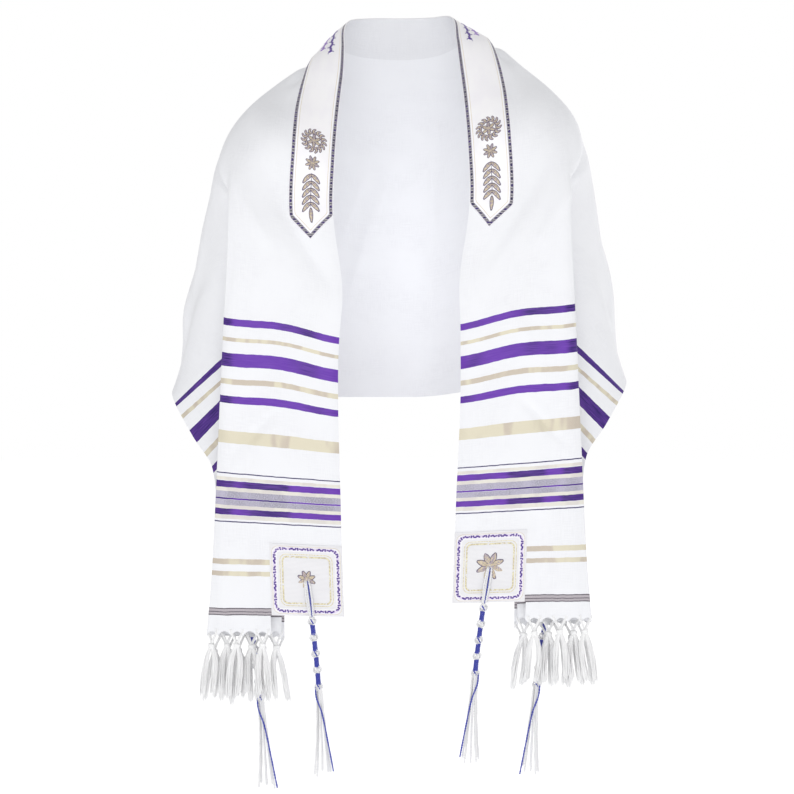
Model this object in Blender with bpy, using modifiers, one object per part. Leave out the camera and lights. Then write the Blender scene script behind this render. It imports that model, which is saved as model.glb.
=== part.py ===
"""A tallit, the fringed prayer shawl, worn open over the shoulders of a general figure.

One oblong cloth lies round the neck, over both shoulders and down to the elbows.  In front it
hangs as two panels, each gathered behind its outer edge into four folds, one behind another.
A neckband, four corner patches, two fringes and four tzitzit are sewn or tied to it.

Frame: +X to the shawl's own left, +Y behind the wearer, +Z up, in metres.  The origin is the
middle of the neck opening, where the wearer's neck and shoulders hold the cloth.
A place on the cloth is "along" (from the centre back, negative towards -X) and "across"
(from the neck edge to the selvedge).
"""
import math
import random

import bmesh
import bpy
import numpy as np

# ------------------------------------------------------------------ driving sizes
CLOTH_LENGTH = 1.87          # fringe to fringe, without the free fringe
CLOTH_WIDTH = 0.56
SLIP = 0.0010                # the cloth has slipped this far towards -X
WALL = 0.002                 # cloth
SEAM_GAP = 0.0003
BAND_WALL = 0.0016
BAND_STRAIGHT = 0.402        # centre back to where the neckband starts to taper
BAND_TIP = 0.430             # centre back to its point
TIP_MARGIN = 0.004           # the cutters of its tips reach this far past them
TIP_CUTTER_DEPTH = 0.03
PATCH_SIZE = 0.090
PATCH_WALL = 0.0016
NEAR_COLUMNS = (0.0, 0.019, 0.038, 0.057, PATCH_SIZE)    # across, from the neck edge
FAR_COLUMNS = (PATCH_SIZE, PATCH_SIZE / 2, 0.0)          # back from the selvedge
BAND_COLUMNS = 3             # the neckband reaches from the neck edge to this column

# The fringe: a header strip, and under it knots with two legs above and two tassels below.
HEADER = 0.0195              # height of the strip
HEADER_COLUMNS = (0.0925, 0.118, 0.145)     # across: on the front of the panel
HEADER_LAST = 0.4690         # across: its other end, clear of the rear corner patch
HEADER_END_GAP = 0.1         # no fold column comes nearer to that end, in places
FRINGE_FIRST = 0.1025        # across: first and last knot
FRINGE_LAST = 0.4550
FRINGE_KNOTS = 12
LEG_SPREAD = 0.0075          # the legs leave the header this far to each side of the knot
LEG_RADIUS = 0.0014
LEG_ROOT = 0.0030            # they start this far up inside the header
KNOT_DROP = 0.019            # knot below the header
KNOT_SHAPE = (
    # up from the knot's middle, radius
    (-0.0050, 0.0014),
    (-0.0025, 0.0042),
    (0.0025, 0.0042),
    (0.0050, 0.0014),
)
TASSEL_LENGTH = 0.064
TASSEL_SPREAD = 0.0060       # a knot's two tassels part this far to each side
TASSEL_SHAPE = (
    # share of the length, share of the spread, radius
    (0.00, 0.20, 0.0022),
    (0.25, 0.80, 0.0036),
    (0.60, 1.05, 0.0038),
    (0.90, 0.95, 0.0030),
    (1.00, 0.90, 0.0012),
)
KNOT_PLAY = 0.0010           # how unevenly the knots, lengths and spreads fall
LENGTH_PLAY = 0.0050
SPREAD_PLAY = 0.0015

# The tzitzit: a cord from the eyelet with double knots, and strings below the last knot.
TZITZIT_HOLE = 0.0445         # eyelet from both edges of the corner
TZITZIT_LENGTH = 0.240       # eyelet to the strings' ends, hanging
TZITZIT_KNOTS = (0.050, 0.070, 0.090, 0.110, 0.1315)      # below the eyelet
CORD_START = (0.0, 0.016, 0.034)                         # cord below the eyelet, on the patch
CORD_RADIUS = 0.0021
CORD_KNOT_RADIUS = 0.0043
CORD_KNOT_HALF = 0.0045
CORD_CLEAR = 0.05            # by this drop the knots hang clear of the patch
STRINGS = 8
STRING_RADIUS = 0.0012
STRING_ROOT = 0.0022         # the strings' ring in the last knot, and where they end
STRING_FAN = 0.0085
STRING_DEPTH = 0.55          # depth of that ring to its width
STRING_STATIONS = (0.0, 0.12, 0.35, 0.65, 1.0)
STRING_PLAY = 0.007
TZITZIT = (
    # side, corner, swing out by its end, bow out half way down
    (-1, "front", -0.020, -0.004),
    (1, "front", -0.024, -0.005),
    (-1, "rear", -0.026, -0.004),
    (1, "rear", -0.028, -0.005),
)
SQUARE = math.pi / 4         # turns a four-sided strand's flat sides to the front

# ------------------------------------------------------------------ guide lines of the cloth
# Each row is a place on one half of the cloth: distance along from the centre back, then
# how far out from the middle, how far back, and how high.
NECK_EDGE = (
    # along, out, back, up
    (0.000, 0.000, 0.062, 0.042),
    (0.045, 0.042, 0.050, 0.039),
    (0.090, 0.069, 0.018, 0.026),
    (0.140, 0.074, -0.018, -0.016),
    (0.197, 0.078, -0.047, -0.060),
    (0.268, 0.0835, -0.080, -0.120),
    (0.325, 0.0865, -0.102, -0.172),
    (0.400, 0.0875, -0.116, -0.247),
    (0.485, 0.0755, -0.120, -0.336),
    (0.556, 0.0765, -0.121, -0.402),
    (0.650, 0.0765, -0.121, -0.490),
    (0.750, 0.0740, -0.121, -0.5835),
    (0.860, 0.0712, -0.121, -0.6890),
    (0.940, 0.0682, -0.121, -0.7675),
)
FOLD_EDGE = (                # the shoulder's crest, then the outer edge of the front panel
    (0.000, 0.000, 0.118, -0.080),
    (0.100, 0.114, 0.088, -0.040),
    (0.150, 0.145, 0.052, -0.038),
    (0.200, 0.167, 0.018, -0.057),
    (0.280, 0.194, -0.045, -0.103),
    (0.340, 0.209, -0.088, -0.158),
    (0.400, 0.2150, -0.112, -0.222),
    (0.470, 0.2175, -0.120, -0.2924),
    (0.556, 0.2222, -0.122, -0.3784),
    (0.650, 0.2266, -0.122, -0.4724),
    (0.750, 0.2312, -0.122, -0.5724),
    (0.860, 0.2368, -0.122, -0.6824),
    (0.940, 0.2436, -0.122, -0.7634),
)
REAR_FOLD = (                # shoulder blade and arm, then the last fold behind the panel
    (0.000, 0.000, 0.134, -0.185),
    (0.100, 0.105, 0.132, -0.178),
    (0.200, 0.196, 0.094, -0.130),
    (0.280, 0.231, 0.028, -0.143),
    (0.340, 0.243, -0.020, -0.194),
    (0.400, 0.202, -0.080, -0.232),
    (0.470, 0.172, -0.088, -0.288),
    (0.556, 0.151, -0.089, -0.364),
    (0.650, 0.149, -0.089, -0.456),
    (0.750, 0.147, -0.089, -0.566),
    (0.860, 0.145, -0.088, -0.693),
    (0.940, 0.144, -0.088, -0.782),
)
ARM = (                      # the middle of what lies beyond the last fold
    (0.000, 0.000, 0.130, -0.330),
    (0.100, 0.103, 0.132, -0.325),
    (0.200, 0.203, 0.122, -0.280),
    (0.280, 0.253, 0.078, -0.282),
    (0.340, 0.270, 0.032, -0.318),
    (0.400, 0.270, -0.010, -0.330),
    (0.470, 0.257, -0.046, -0.366),
    (0.556, 0.229, -0.074, -0.430),
    (0.650, 0.194, -0.082, -0.512),
    (0.750, 0.188, -0.082, -0.611),
    (0.860, 0.187, -0.078, -0.707),
    (0.940, 0.187, -0.076, -0.788),
)
SELVEDGE = (                 # back hem, elbow, then the hidden edge behind the panel
    (0.000, 0.000, 0.122, -0.470),
    (0.100, 0.100, 0.124, -0.470),
    (0.200, 0.194, 0.124, -0.470),
    (0.280, 0.250, 0.092, -0.470),
    (0.340, 0.279, 0.060, -0.470),
    (0.400, 0.292, 0.026, -0.468),
    (0.470, 0.298, -0.005, -0.462),
    (0.556, 0.289, -0.040, -0.481),
    (0.600, 0.265, -0.062, -0.520),
    (0.650, 0.238, -0.076, -0.562),
    (0.750, 0.232, -0.080, -0.652),
    (0.860, 0.232, -0.072, -0.723),
    (0.940, 0.232, -0.068, -0.790),
)
SHOULDER_RISE = 0.015        # the +X shoulder stands this much higher
COLLAR_STAND = 0.016         # the cloth stands up this much round the sides of the neck
COLLAR_FULL = 0.08           # along: where it stands highest, and where it has laid down
COLLAR_FADE = 0.16
COLLAR_END = 0.26
COLLAR_FORWARD = 0.020       # the neckband stands this far forward over the collar bones
FORWARD_SPAN = (0.08, 0.20, 0.28, 0.42)     # along: where that begins, is full, fades and ends
NECK_LEAN = 0.005            # the -X side of the neck opening lies this much further in
LEAN_SPAN = (0.08, 0.20, 0.44, 0.60)
COLLAR_DROP = 0.022          # and that shoulder falls away this much beside the neckband
DROP_SPAN = (0.06, 0.14, 0.20, 0.34)
FULL_SHOULDER = 0.009        # the +X shoulder is this much fuller towards the arm
FULL_SPAN = (0.13, 0.21, 0.26, 0.38)
INNER_LEAN = 0.003           # the +X panel hangs this much further in at its inner hem
LEAN_START = 0.62            # along: where that begins, and where it is full
LEAN_FULL = 0.86
RISE_START = 0.02            # along: where the +X shoulder's rise begins, and where it is full
RISE_FULL = 0.16
FOLD_SHARE = 0.26            # how far across the guide lines lie where nothing is gathered
REAR_SHARE = 0.45
ARM_SHARE = 0.72
FOLDS = 4                    # folds behind each panel, turning in and out by turns
GATHER_START = 0.30          # along: where the folds begin, and where they are full
GATHER_FULL = 0.43
FRONT_SHARES = (0.33, 0.67)  # guide points between the neck edge and the panel's outer edge

# Soft folds that show from a step away: a line on the cloth, and the trough's size.
TROUGHS = (
    # along 1, across 1, along 2, across 2, depth, half width
    (0.27, 0.150, 0.49, 0.010, 0.0040, 0.020),
    (0.62, 0.100, 0.80, 0.130, 0.0025, 0.016),
)
TROUGH_IN = (-0.05, 0.25)    # shares of the line over which a trough begins, then ends
TROUGH_OUT = (0.75, 1.05)
WAVE_HEIGHT = 0.011          # waves of the back hem towards each elbow
WAVE_LENGTH = 0.12
WAVE_FROM = 0.09             # along: the waves' first and last end, and their fading
WAVE_TO = 0.44
WAVE_FADE = 0.08
WAVE_TOP = 0.20              # across: where they begin below the shoulder

# A section is one smooth curve; a place on it runs from 0 at the neck edge to SPANS at the
# selvedge, and its folds lie two places apart.
GUIDES = 1 + len(FRONT_SHARES) + 2 * FOLDS + 4
SPANS = GUIDES - 3
TURN = 2.5                   # place of the first fold
TURN_HALF = 0.28             # its columns stand this far to each side of it
FIRST_TURN = TURN - TURN_HALF
LAST_TURN = TURN + 2 * (FOLDS - 1) + TURN_HALF
PANEL_STEPS = 3              # columns' steps from the patch's edge to the first fold
LAST_STEPS = 5               # and from the last fold to the rear patch's edge
SHOULDER_STEP = 0.03         # along: rows over the shoulder, then down the front
SHOULDER_ROWS = 11
FRONT_ROWS = (0.353, 0.378, BAND_STRAIGHT, BAND_TIP, 0.465, 0.51, 0.556, 0.605, 0.655, 0.71, 0.765)
SPOT_STEP = 0.004            # a spot's normal is taken over this much cloth


# ------------------------------------------------------------------ the cloth's form
def smooth(start, end, value):
    """0 before start and 1 after end, soft at both."""
    share = min(max((value - start) / (end - start), 0.0), 1.0)
    return share * share * (3.0 - 2.0 * share)


def window(span, value):
    """0 outside the span's ends and 1 between its two middle values."""
    return smooth(span[0], span[1], value) * (1.0 - smooth(span[2], span[3], value))


def blend(one, other, share):
    return one + (other - one) * share


def through(places, points, place):
    """Smooth curve through points that stand at the given places."""
    i = int(np.clip(np.searchsorted(places, place) - 1, 0, len(places) - 2))
    lo = max(i - 1, 0)
    hi = min(i + 2, len(places) - 1)
    span = places[i + 1] - places[i]
    leave = (points[i + 1] - points[lo]) / (places[i + 1] - places[lo]) * span
    arrive = (points[hi] - points[i]) / (places[hi] - places[i]) * span
    f = (place - places[i]) / span
    return ((1 + 2 * f) * (1 - f) ** 2 * points[i] + f * (1 - f) ** 2 * leave
            + f * f * (3 - 2 * f) * points[i + 1] + f * f * (f - 1) * arrive)


def guide(table, along):
    """Point of a guide line; the row mirrored past the centre back keeps it smooth there."""
    second = table[1]
    rows = np.array([(-second[0], -second[1], second[2], second[3]), *table])
    return through(rows[:, 0], rows[:, 1:], along)


def section_guides(along):
    """Guide points of one section of the half cloth, from neck edge to selvedge."""
    neck = guide(NECK_EDGE, along)
    fold = guide(FOLD_EDGE, along)
    rear = guide(REAR_FOLD, along)
    arm = guide(ARM, along)
    selvedge = guide(SELVEDGE, along)
    gathered = smooth(GATHER_START, GATHER_FULL, along)

    shares = np.array([0.0, FOLD_SHARE, REAR_SHARE, ARM_SHARE, 1.0])
    open_line = np.array([neck, fold, rear, arm, selvedge])
    stand = COLLAR_STAND * smooth(0.0, COLLAR_FULL, along)
    stand *= 1.0 - smooth(COLLAR_FADE, COLLAR_END, along)
    points = [neck]
    for share in FRONT_SHARES:
        draped = through(shares, open_line, share * FOLD_SHARE)
        draped[2] += stand
        draped[1] -= COLLAR_FORWARD * window(FORWARD_SPAN, along)
        flat = blend(neck, fold, share)
        points.append(blend(draped, flat, gathered))
    for number in range(1, FOLDS + 1):
        for half in (0, 1):
            step = 2 * (number - 1) + half
            share = blend(FOLD_SHARE, REAR_SHARE, step / (2 * FOLDS - 1))
            draped = through(shares, open_line, share)
            folded = np.array([
                fold[0] if number % 2 else rear[0],
                blend(fold[1], rear[1], (number - 1 + half) / FOLDS),
                blend(fold[2], rear[2], (2 * number - 1) / (2 * FOLDS)),
            ])
            points.append(blend(draped, folded, gathered))
    for share, start, end in (((REAR_SHARE + ARM_SHARE) / 2, rear, arm),
                              ((ARM_SHARE + 1.0) / 2, arm, selvedge)):
        draped = through(shares, open_line, share)
        points.append(blend(draped, (start + end) / 2, gathered))
        points.append(end)
    return np.array(points)


def curve_weights(place):
    """Weights of the guide points at a place on the section's smooth cubic curve."""
    knots = np.concatenate(([0.0] * 3, np.arange(SPANS + 1.0), [float(SPANS)] * 3))
    place = min(max(place, 0.0), SPANS - 1e-9)
    weights = np.array([1.0 if knots[i] <= place < knots[i + 1] else 0.0
                        for i in range(len(knots) - 1)])
    for degree in (1, 2, 3):
        raised = np.zeros(len(weights) - 1)
        for i in range(len(raised)):
            left = knots[i + degree] - knots[i]
            right = knots[i + degree + 1] - knots[i + 1]
            if left > 0:
                raised[i] += (place - knots[i]) / left * weights[i]
            if right > 0:
                raised[i] += (knots[i + degree + 1] - place) / right * weights[i + 1]
        weights = raised
    return weights


def relief(along, across):
    """How far the soft folds press the cloth inward, and the hem's waves push it out."""
    out = 0.0
    for a1, c1, a2, c2, depth, half_width in TROUGHS:
        run = ((along - a1) * (a2 - a1) + (across - c1) * (c2 - c1))
        run /= (a2 - a1) ** 2 + (c2 - c1) ** 2
        held = min(max(run, 0.0), 1.0)
        gap = math.hypot(along - blend(a1, a2, held), across - blend(c1, c2, held))
        ends = smooth(*TROUGH_IN, run) * (1.0 - smooth(*TROUGH_OUT, run))
        out -= depth * ends * math.exp(-(gap / half_width) ** 2)
    window = smooth(WAVE_FROM, WAVE_FROM + WAVE_FADE, along)
    window *= 1.0 - smooth(WAVE_TO - WAVE_FADE, WAVE_TO, along)
    rise = smooth(WAVE_TOP, CLOTH_WIDTH, across)
    turns = (along - WAVE_FROM) / WAVE_LENGTH
    return out + WAVE_HEIGHT * window * rise * math.sin(2 * math.pi * turns)


FINE_PLACES = np.linspace(0.0, SPANS, 20 * SPANS + 1)
FINE_WEIGHTS = np.array([curve_weights(place) for place in FINE_PLACES])


class Section:
    """One section of the cloth: its smooth curve, and where on it a distance across falls."""

    def __init__(self, along):
        self.guides = section_guides(abs(along))
        if along < 0:
            self.guides[:, 0] *= -1.0
            panel = 1.0 - np.array([0.0, *FRONT_SHARES])
            self.guides[:len(panel), 0] += NECK_LEAN * window(LEAN_SPAN, -along) * panel
            self.guides[len(panel) - 1, 2] -= COLLAR_DROP * window(DROP_SPAN, -along)
        else:
            self.guides[:, 2] += SHOULDER_RISE * smooth(RISE_START, RISE_FULL, along)
            self.guides[3:8, 2] += FULL_SHOULDER * window(FULL_SPAN, along)
            panel = 1.0 - np.array([0.0, *FRONT_SHARES])
            self.guides[:3, 0] -= INNER_LEAN * smooth(LEAN_START, LEAN_FULL, along) * panel
        line = FINE_WEIGHTS @ self.guides
        lengths = np.concatenate(([0.0], np.cumsum(np.linalg.norm(np.diff(line, axis=0), axis=1))))
        panel = np.interp(FIRST_TURN, FINE_PLACES, lengths)
        spread = (CLOTH_WIDTH - panel) / (lengths[-1] - panel)
        self.across = np.where(lengths < panel, lengths, panel + (lengths - panel) * spread)

    def place(self, across):
        return np.interp(across, self.across, FINE_PLACES)

    def across_at(self, place):
        return np.interp(place, FINE_PLACES, self.across)

    def points(self, places):
        return np.array([curve_weights(place) for place in places]) @ self.guides


def fold_places():
    """Places round the folds: three on each turn and one between two turns."""
    places = []
    for number in range(FOLDS):
        turn = TURN + 2 * number
        places += [turn - TURN_HALF, turn, turn + TURN_HALF, turn + 1.0]
    return places[:-1]


def cloth_places(section):
    """Places of the cloth's columns: the band's and patches' edges lie on columns."""
    near = section.place(np.array(NEAR_COLUMNS))
    far = section.place(CLOTH_WIDTH - np.array(FAR_COLUMNS))
    start, end = section.across_at(np.array([FIRST_TURN, LAST_TURN]))
    panel = section.place(np.linspace(NEAR_COLUMNS[-1], start, PANEL_STEPS + 1)[1:-1])
    last = section.place(np.linspace(end, CLOTH_WIDTH - FAR_COLUMNS[0], LAST_STEPS + 1)[1:-1])
    return np.concatenate((near, panel, fold_places(), last, far))


def header_places(section):
    """Places of the fringe header's columns, between the two corner patches."""
    panel = section.place(np.array(HEADER_COLUMNS))
    last = float(section.place(HEADER_LAST))
    inner = [place for place in fold_places() if place < last - HEADER_END_GAP]
    return np.concatenate((panel, inner, [last]))


def cloth_grid(alongs, places_of=cloth_places):
    """Middle surface of the cloth over some rows: points and outward normals."""
    points = []
    shares = []
    for along in alongs:
        section = Section(along)
        places = places_of(section)
        points.append(section.points(places))
        shares.append(section.across_at(places))
    points = np.array(points)
    normals = grid_normals(points)
    for r, along in enumerate(alongs):
        for c, across in enumerate(shares[r]):
            points[r, c] += normals[r, c] * relief(abs(along), across)
    return points, grid_normals(points)


def grid_normals(points):
    """Unit normals of a grid of points, away from the wearer."""
    down = np.gradient(points, axis=0)
    over = np.gradient(points, axis=1)
    normals = np.cross(down, over)
    return normals / np.linalg.norm(normals, axis=2, keepdims=True)


def end_along(side):
    """Distance from the centre back to the lower end of one side, header included."""
    return CLOTH_LENGTH / 2 - side * SLIP


def half_rows(side):
    """Rows of one half of the cloth, from the centre back to its lower end."""
    shoulder = [SHOULDER_STEP * i for i in range(1, SHOULDER_ROWS + 1)]
    end = end_along(side) - HEADER
    corner = [end - PATCH_SIZE, end - PATCH_SIZE / 2, end]
    return shoulder + list(FRONT_ROWS) + corner


def cloth_rows():
    """Every row of the cloth, from the -X end over the centre back to the +X end."""
    return [-a for a in reversed(half_rows(-1))] + [0.0] + half_rows(1)


# ------------------------------------------------------------------ building blocks
def clear_scene():
    for thing in list(bpy.data.objects):
        bpy.data.objects.remove(thing, do_unlink=True)


def new_collection(name):
    collection = bpy.data.collections.new(name)
    bpy.context.scene.collection.children.link(collection)
    return collection


def cloth_material(name, colour, roughness, sheen):
    material = bpy.data.materials.new(name)
    material.use_nodes = True
    shader = material.node_tree.nodes["Principled BSDF"]
    shader.inputs["Base Color"].default_value = (*colour, 1.0)
    shader.inputs["Roughness"].default_value = roughness
    shader.inputs["Metallic"].default_value = 0.0
    shader.inputs["Sheen Weight"].default_value = sheen
    return material


def wall(name, grid, thickness, material):
    """Closed wall about a grid of points, as an open surface with Solidify.

    All grids are split along the same diagonal, so that a piece lies flat on another.
    """
    rows, columns, _ = grid.shape
    faces = []
    for r in range(rows - 1):
        for c in range(columns - 1):
            first = r * columns + c
            across_from = first + columns + 1
            faces.append((first, first + 1, across_from))
            faces.append((first, across_from, first + columns))
    mesh = bpy.data.meshes.new(name)
    mesh.from_pydata([tuple(p) for p in grid.reshape(-1, 3)], [], faces)
    mesh.materials.append(material)
    thing = bpy.data.objects.new(name, mesh)
    solidify = thing.modifiers.new("wall", "SOLIDIFY")
    solidify.thickness = thickness
    solidify.offset = 0.0
    solidify.use_even_offset = False
    solidify.use_rim = True
    return thing


def strand(name, path, radii, sides_level, material, turn=0.0):
    """Closed strand along a path, one radius for each point, made a mesh with welded caps."""
    curve = bpy.data.curves.new(name, "CURVE")
    curve.dimensions = "3D"
    curve.bevel_depth = 1.0
    curve.bevel_resolution = sides_level
    curve.use_fill_caps = True
    spline = curve.splines.new("POLY")
    spline.points.add(len(path) - 1)
    for point, place, radius in zip(spline.points, path, radii):
        point.co = (*place, 1.0)
        point.radius = radius
        point.tilt = turn
    guide_curve = bpy.data.objects.new("strand_guide", curve)
    bpy.context.scene.collection.objects.link(guide_curve)
    bpy.context.view_layer.update()
    evaluated = guide_curve.evaluated_get(bpy.context.evaluated_depsgraph_get())
    mesh = bpy.data.meshes.new_from_object(evaluated)
    weld_caps(mesh)
    mesh.materials.clear()
    mesh.materials.append(material)
    mesh.name = name
    thing = bpy.data.objects.new(name, mesh)
    thing.matrix_world = guide_curve.matrix_world
    bpy.data.objects.remove(guide_curve)
    bpy.data.curves.remove(curve)
    return thing


def weld_caps(mesh):
    shape = bmesh.new()
    shape.from_mesh(mesh)
    bmesh.ops.remove_doubles(shape, verts=shape.verts, dist=0.00001)
    bmesh.ops.recalc_face_normals(shape, faces=shape.faces)
    shape.to_mesh(mesh)
    shape.free()


def helper_collection(name, things):
    """Cutters, or pieces to be fused: kept out of the finished object."""
    helpers = bpy.data.collections.new(name)
    bpy.data.collections["tallit_helpers"].children.link(helpers)
    for thing in things:
        helpers.objects.link(thing)
        thing.hide_render = True
        thing.display_type = "WIRE"
    return helpers


def fuse(base, helpers, operation):
    """Join a helper collection to the base, or cut it away."""
    joint = base.modifiers.new(operation.lower(), "BOOLEAN")
    joint.operation = operation
    joint.solver = "EXACT"
    joint.operand_type = "COLLECTION"
    joint.collection = helpers


# ------------------------------------------------------------------ the pieces
def side_name(side):
    return "left" if side > 0 else "right"


def make_cloth(cloth, material):
    return wall("shawl_cloth", cloth["points"], WALL, material)


def laid_on(cloth, thickness):
    """The cloth's own points moved out to the middle of a piece that lies on it."""
    return cloth["points"] + cloth["normals"] * (WALL / 2 + SEAM_GAP + thickness / 2)


def make_neckband(cloth, material):
    """Band over the neck edge, from one pointed tip round the nape to the other."""
    rows = [r for r, along in enumerate(cloth["alongs"]) if abs(along) < BAND_TIP + SEAM_GAP]
    grid = laid_on(cloth, BAND_WALL)[rows, :BAND_COLUMNS + 1]
    band = wall("neckband", grid, BAND_WALL, material)
    wedges = tip_wedges(grid[0], grid[1]) + tip_wedges(grid[-1], grid[-2])
    fuse(band, helper_collection("neckband_tips", wedges), "DIFFERENCE")
    return band


def tip_wedges(last, before):
    """Two wedges that cut a square end of the band, between two of its rows, to a point."""
    middle = (last[0] + last[-1]) / 2
    on = middle - (before[0] + before[-1]) / 2
    on = on / np.linalg.norm(on)
    half = (last[-1] - last[0]) / 2
    taper = on * (BAND_TIP - BAND_STRAIGHT)
    tip = middle - on * TIP_MARGIN / 4
    wedges = []
    for side in (-half, half):
        overlap = side / np.linalg.norm(side) * TIP_MARGIN
        corners = [
            tip,
            tip + on * TIP_MARGIN - overlap,
            tip + on * TIP_MARGIN + side * 2,
            tip - taper * 2 + side * 2,
        ]
        mesh = bpy.data.meshes.new("tip_wedge")
        mesh.from_pydata([tuple(corner) for corner in corners], [], [range(len(corners))])
        wedge = bpy.data.objects.new("tip_wedge", mesh)
        solidify = wedge.modifiers.new("depth", "SOLIDIFY")
        solidify.thickness = TIP_CUTTER_DEPTH
        solidify.offset = 0.0
        wedges.append(wedge)
    return wedges


def make_patch(cloth, side, corner, material):
    """Square patch on one corner of the cloth."""
    grid = laid_on(cloth, PATCH_WALL)
    rows = grid[:3] if side < 0 else grid[-3:]
    front = corner == "front"
    picked = rows[:, :len(NEAR_COLUMNS)] if front else rows[:, -len(FAR_COLUMNS):]
    return wall(f"patch_{side_name(side)}_{corner}", picked, PATCH_WALL, material)


def cloth_spot(along, across):
    """Point of the cloth, its outward normal and its direction across."""
    steps = np.array([-SPOT_STEP, 0.0, SPOT_STEP])

    def places(section):
        return section.place(across + steps)

    points, normals = cloth_grid(along + steps, places)
    over = points[1, 2] - points[1, 0]
    return points[1, 1], normals[1, 1], over / np.linalg.norm(over)


def make_fringe(side, material, chance):
    """Header strip below the cloth's end, with knotted pairs of soft tassels fused to it."""
    end = end_along(side)
    alongs = [side * along for along in (end - HEADER + SEAM_GAP, end - HEADER / 2, end)]
    points, _ = cloth_grid(sorted(alongs), header_places)
    header = wall(f"fringe_{side_name(side)}", points, WALL, material)
    things = []
    for number in range(FRINGE_KNOTS):
        across = blend(FRINGE_FIRST, FRINGE_LAST, number / (FRINGE_KNOTS - 1))
        things += tassel_pair(f"{header.name}_{number}", side, across, material, chance)
    fuse(header, helper_collection(header.name + "_tassels", things), "UNION")
    return header


def tassel_pair(name, side, across, material, chance):
    """Two legs that meet in a knot, and the two soft tassels that hang from it."""
    along = side * end_along(side)
    up = np.array([0.0, 0.0, 1.0])
    middle, _, over = cloth_spot(along, across)
    knot = middle - up * (KNOT_DROP + chance.uniform(-KNOT_PLAY, KNOT_PLAY))
    things = []
    for hand in (-1, 1):
        root, _, _ = cloth_spot(along, across + hand * LEG_SPREAD)
        path = [root + up * LEG_ROOT, knot]
        things.append(strand(name + "_leg", path, [LEG_RADIUS] * 2, 0, material, SQUARE))
    path = [knot + up * rise for rise, _ in KNOT_SHAPE]
    things.append(strand(name + "_knot", path, [radius for _, radius in KNOT_SHAPE], 1, material))
    for hand in (-1, 1):
        length = TASSEL_LENGTH + chance.uniform(-LENGTH_PLAY, LENGTH_PLAY)
        spread = over * (hand * TASSEL_SPREAD + chance.uniform(-SPREAD_PLAY, SPREAD_PLAY))
        path = [knot - up * length * drop + spread * out for drop, out, _ in TASSEL_SHAPE]
        radii = [radius for _, _, radius in TASSEL_SHAPE]
        things.append(strand(name + "_tassel", path, radii, 0, material, SQUARE))
    return things


def make_tzitzit(side, corner, swing, bow, material, chance):
    """Cord from a patch's eyelet, with its double knots, and the strings below them."""
    along = side * (end_along(side) - HEADER - TZITZIT_HOLE)
    across = TZITZIT_HOLE if corner == "front" else CLOTH_WIDTH - TZITZIT_HOLE
    spot, normal, _ = cloth_spot(along, across)
    hole = spot + normal * (WALL / 2 + PATCH_WALL + 2 * SEAM_GAP + CORD_RADIUS)

    def hang(drop):
        share = drop / TZITZIT_LENGTH
        out = side * (swing * share + bow * math.sin(math.pi * share))
        forward = smooth(0.0, CORD_CLEAR, drop) * (CORD_KNOT_RADIUS - CORD_RADIUS)
        return np.array([hole[0] + out, hole[1] - forward, hole[2] - drop])

    drops = list(CORD_START)
    radii = [CORD_RADIUS] * len(CORD_START)
    for knot in TZITZIT_KNOTS:
        half = CORD_KNOT_HALF
        drops += [knot - half, knot - half / 2, knot + half / 2, knot + half]
        radii += [CORD_RADIUS, CORD_KNOT_RADIUS, CORD_KNOT_RADIUS, CORD_RADIUS]
    name = f"tzitzit_{side_name(side)}_{corner}"
    cord = strand(name, [hang(drop) for drop in drops], radii, 1, material)
    things = []
    for number in range(STRINGS):
        turn = 2 * math.pi * number / STRINGS
        ring = np.array([math.cos(turn), STRING_DEPTH * math.sin(turn), 0.0])
        end = TZITZIT_LENGTH + chance.uniform(-STRING_PLAY, STRING_PLAY)
        path = []
        for share in STRING_STATIONS:
            drop = blend(TZITZIT_KNOTS[-1], end, share)
            path.append(hang(drop) + ring * blend(STRING_ROOT, STRING_FAN, share))
        radii = [STRING_RADIUS] * len(path)
        things.append(strand(name + "_string", path, radii, 0, material, SQUARE))
    fuse(cord, helper_collection(name + "_strings", things), "UNION")
    return cord


def main():
    clear_scene()
    shawl = new_collection("tallit")
    new_collection("tallit_helpers")
    chance = random.Random(72)

    woven = cloth_material("woven_white", (0.93, 0.93, 0.95), 0.75, 0.25)
    brocade = cloth_material("band_brocade", (0.86, 0.83, 0.90), 0.55, 0.35)
    ribbed = cloth_material("patch_ribbed", (0.90, 0.88, 0.93), 0.60, 0.30)
    yarn = cloth_material("fringe_yarn", (0.94, 0.94, 0.94), 0.85, 0.40)
    cord = cloth_material("tzitzit_cord", (0.62, 0.62, 0.86), 0.80, 0.30)

    alongs = cloth_rows()
    points, normals = cloth_grid(alongs)
    cloth = {"alongs": alongs, "points": points, "normals": normals}
    pieces = [make_cloth(cloth, woven), make_neckband(cloth, brocade)]
    for side in (-1, 1):
        for corner in ("front", "rear"):
            pieces.append(make_patch(cloth, side, corner, ribbed))
    for side in (-1, 1):
        pieces.append(make_fringe(side, yarn, chance))
    for side, corner, swing, bow in TZITZIT:
        pieces.append(make_tzitzit(side, corner, swing, bow, cord, chance))

    neck = bpy.data.objects.new("neck", None)
    shawl.objects.link(neck)
    for piece in pieces:
        shawl.objects.link(piece)
        piece.parent = neck


main()
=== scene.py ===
"""The looks of a tallit: woven cloth, brocade neckband, corner patches, fringe and tzitzit.

Every piece is laid out on the cloth itself.  A place on it is "along" (from the centre back,
negative towards -X) and "across" (from the neck edge to the selvedge).  Sizes are in metres,
but for the guide lines, the creases and the stripes, which are in millimetres.
"""
import math
import random

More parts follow.
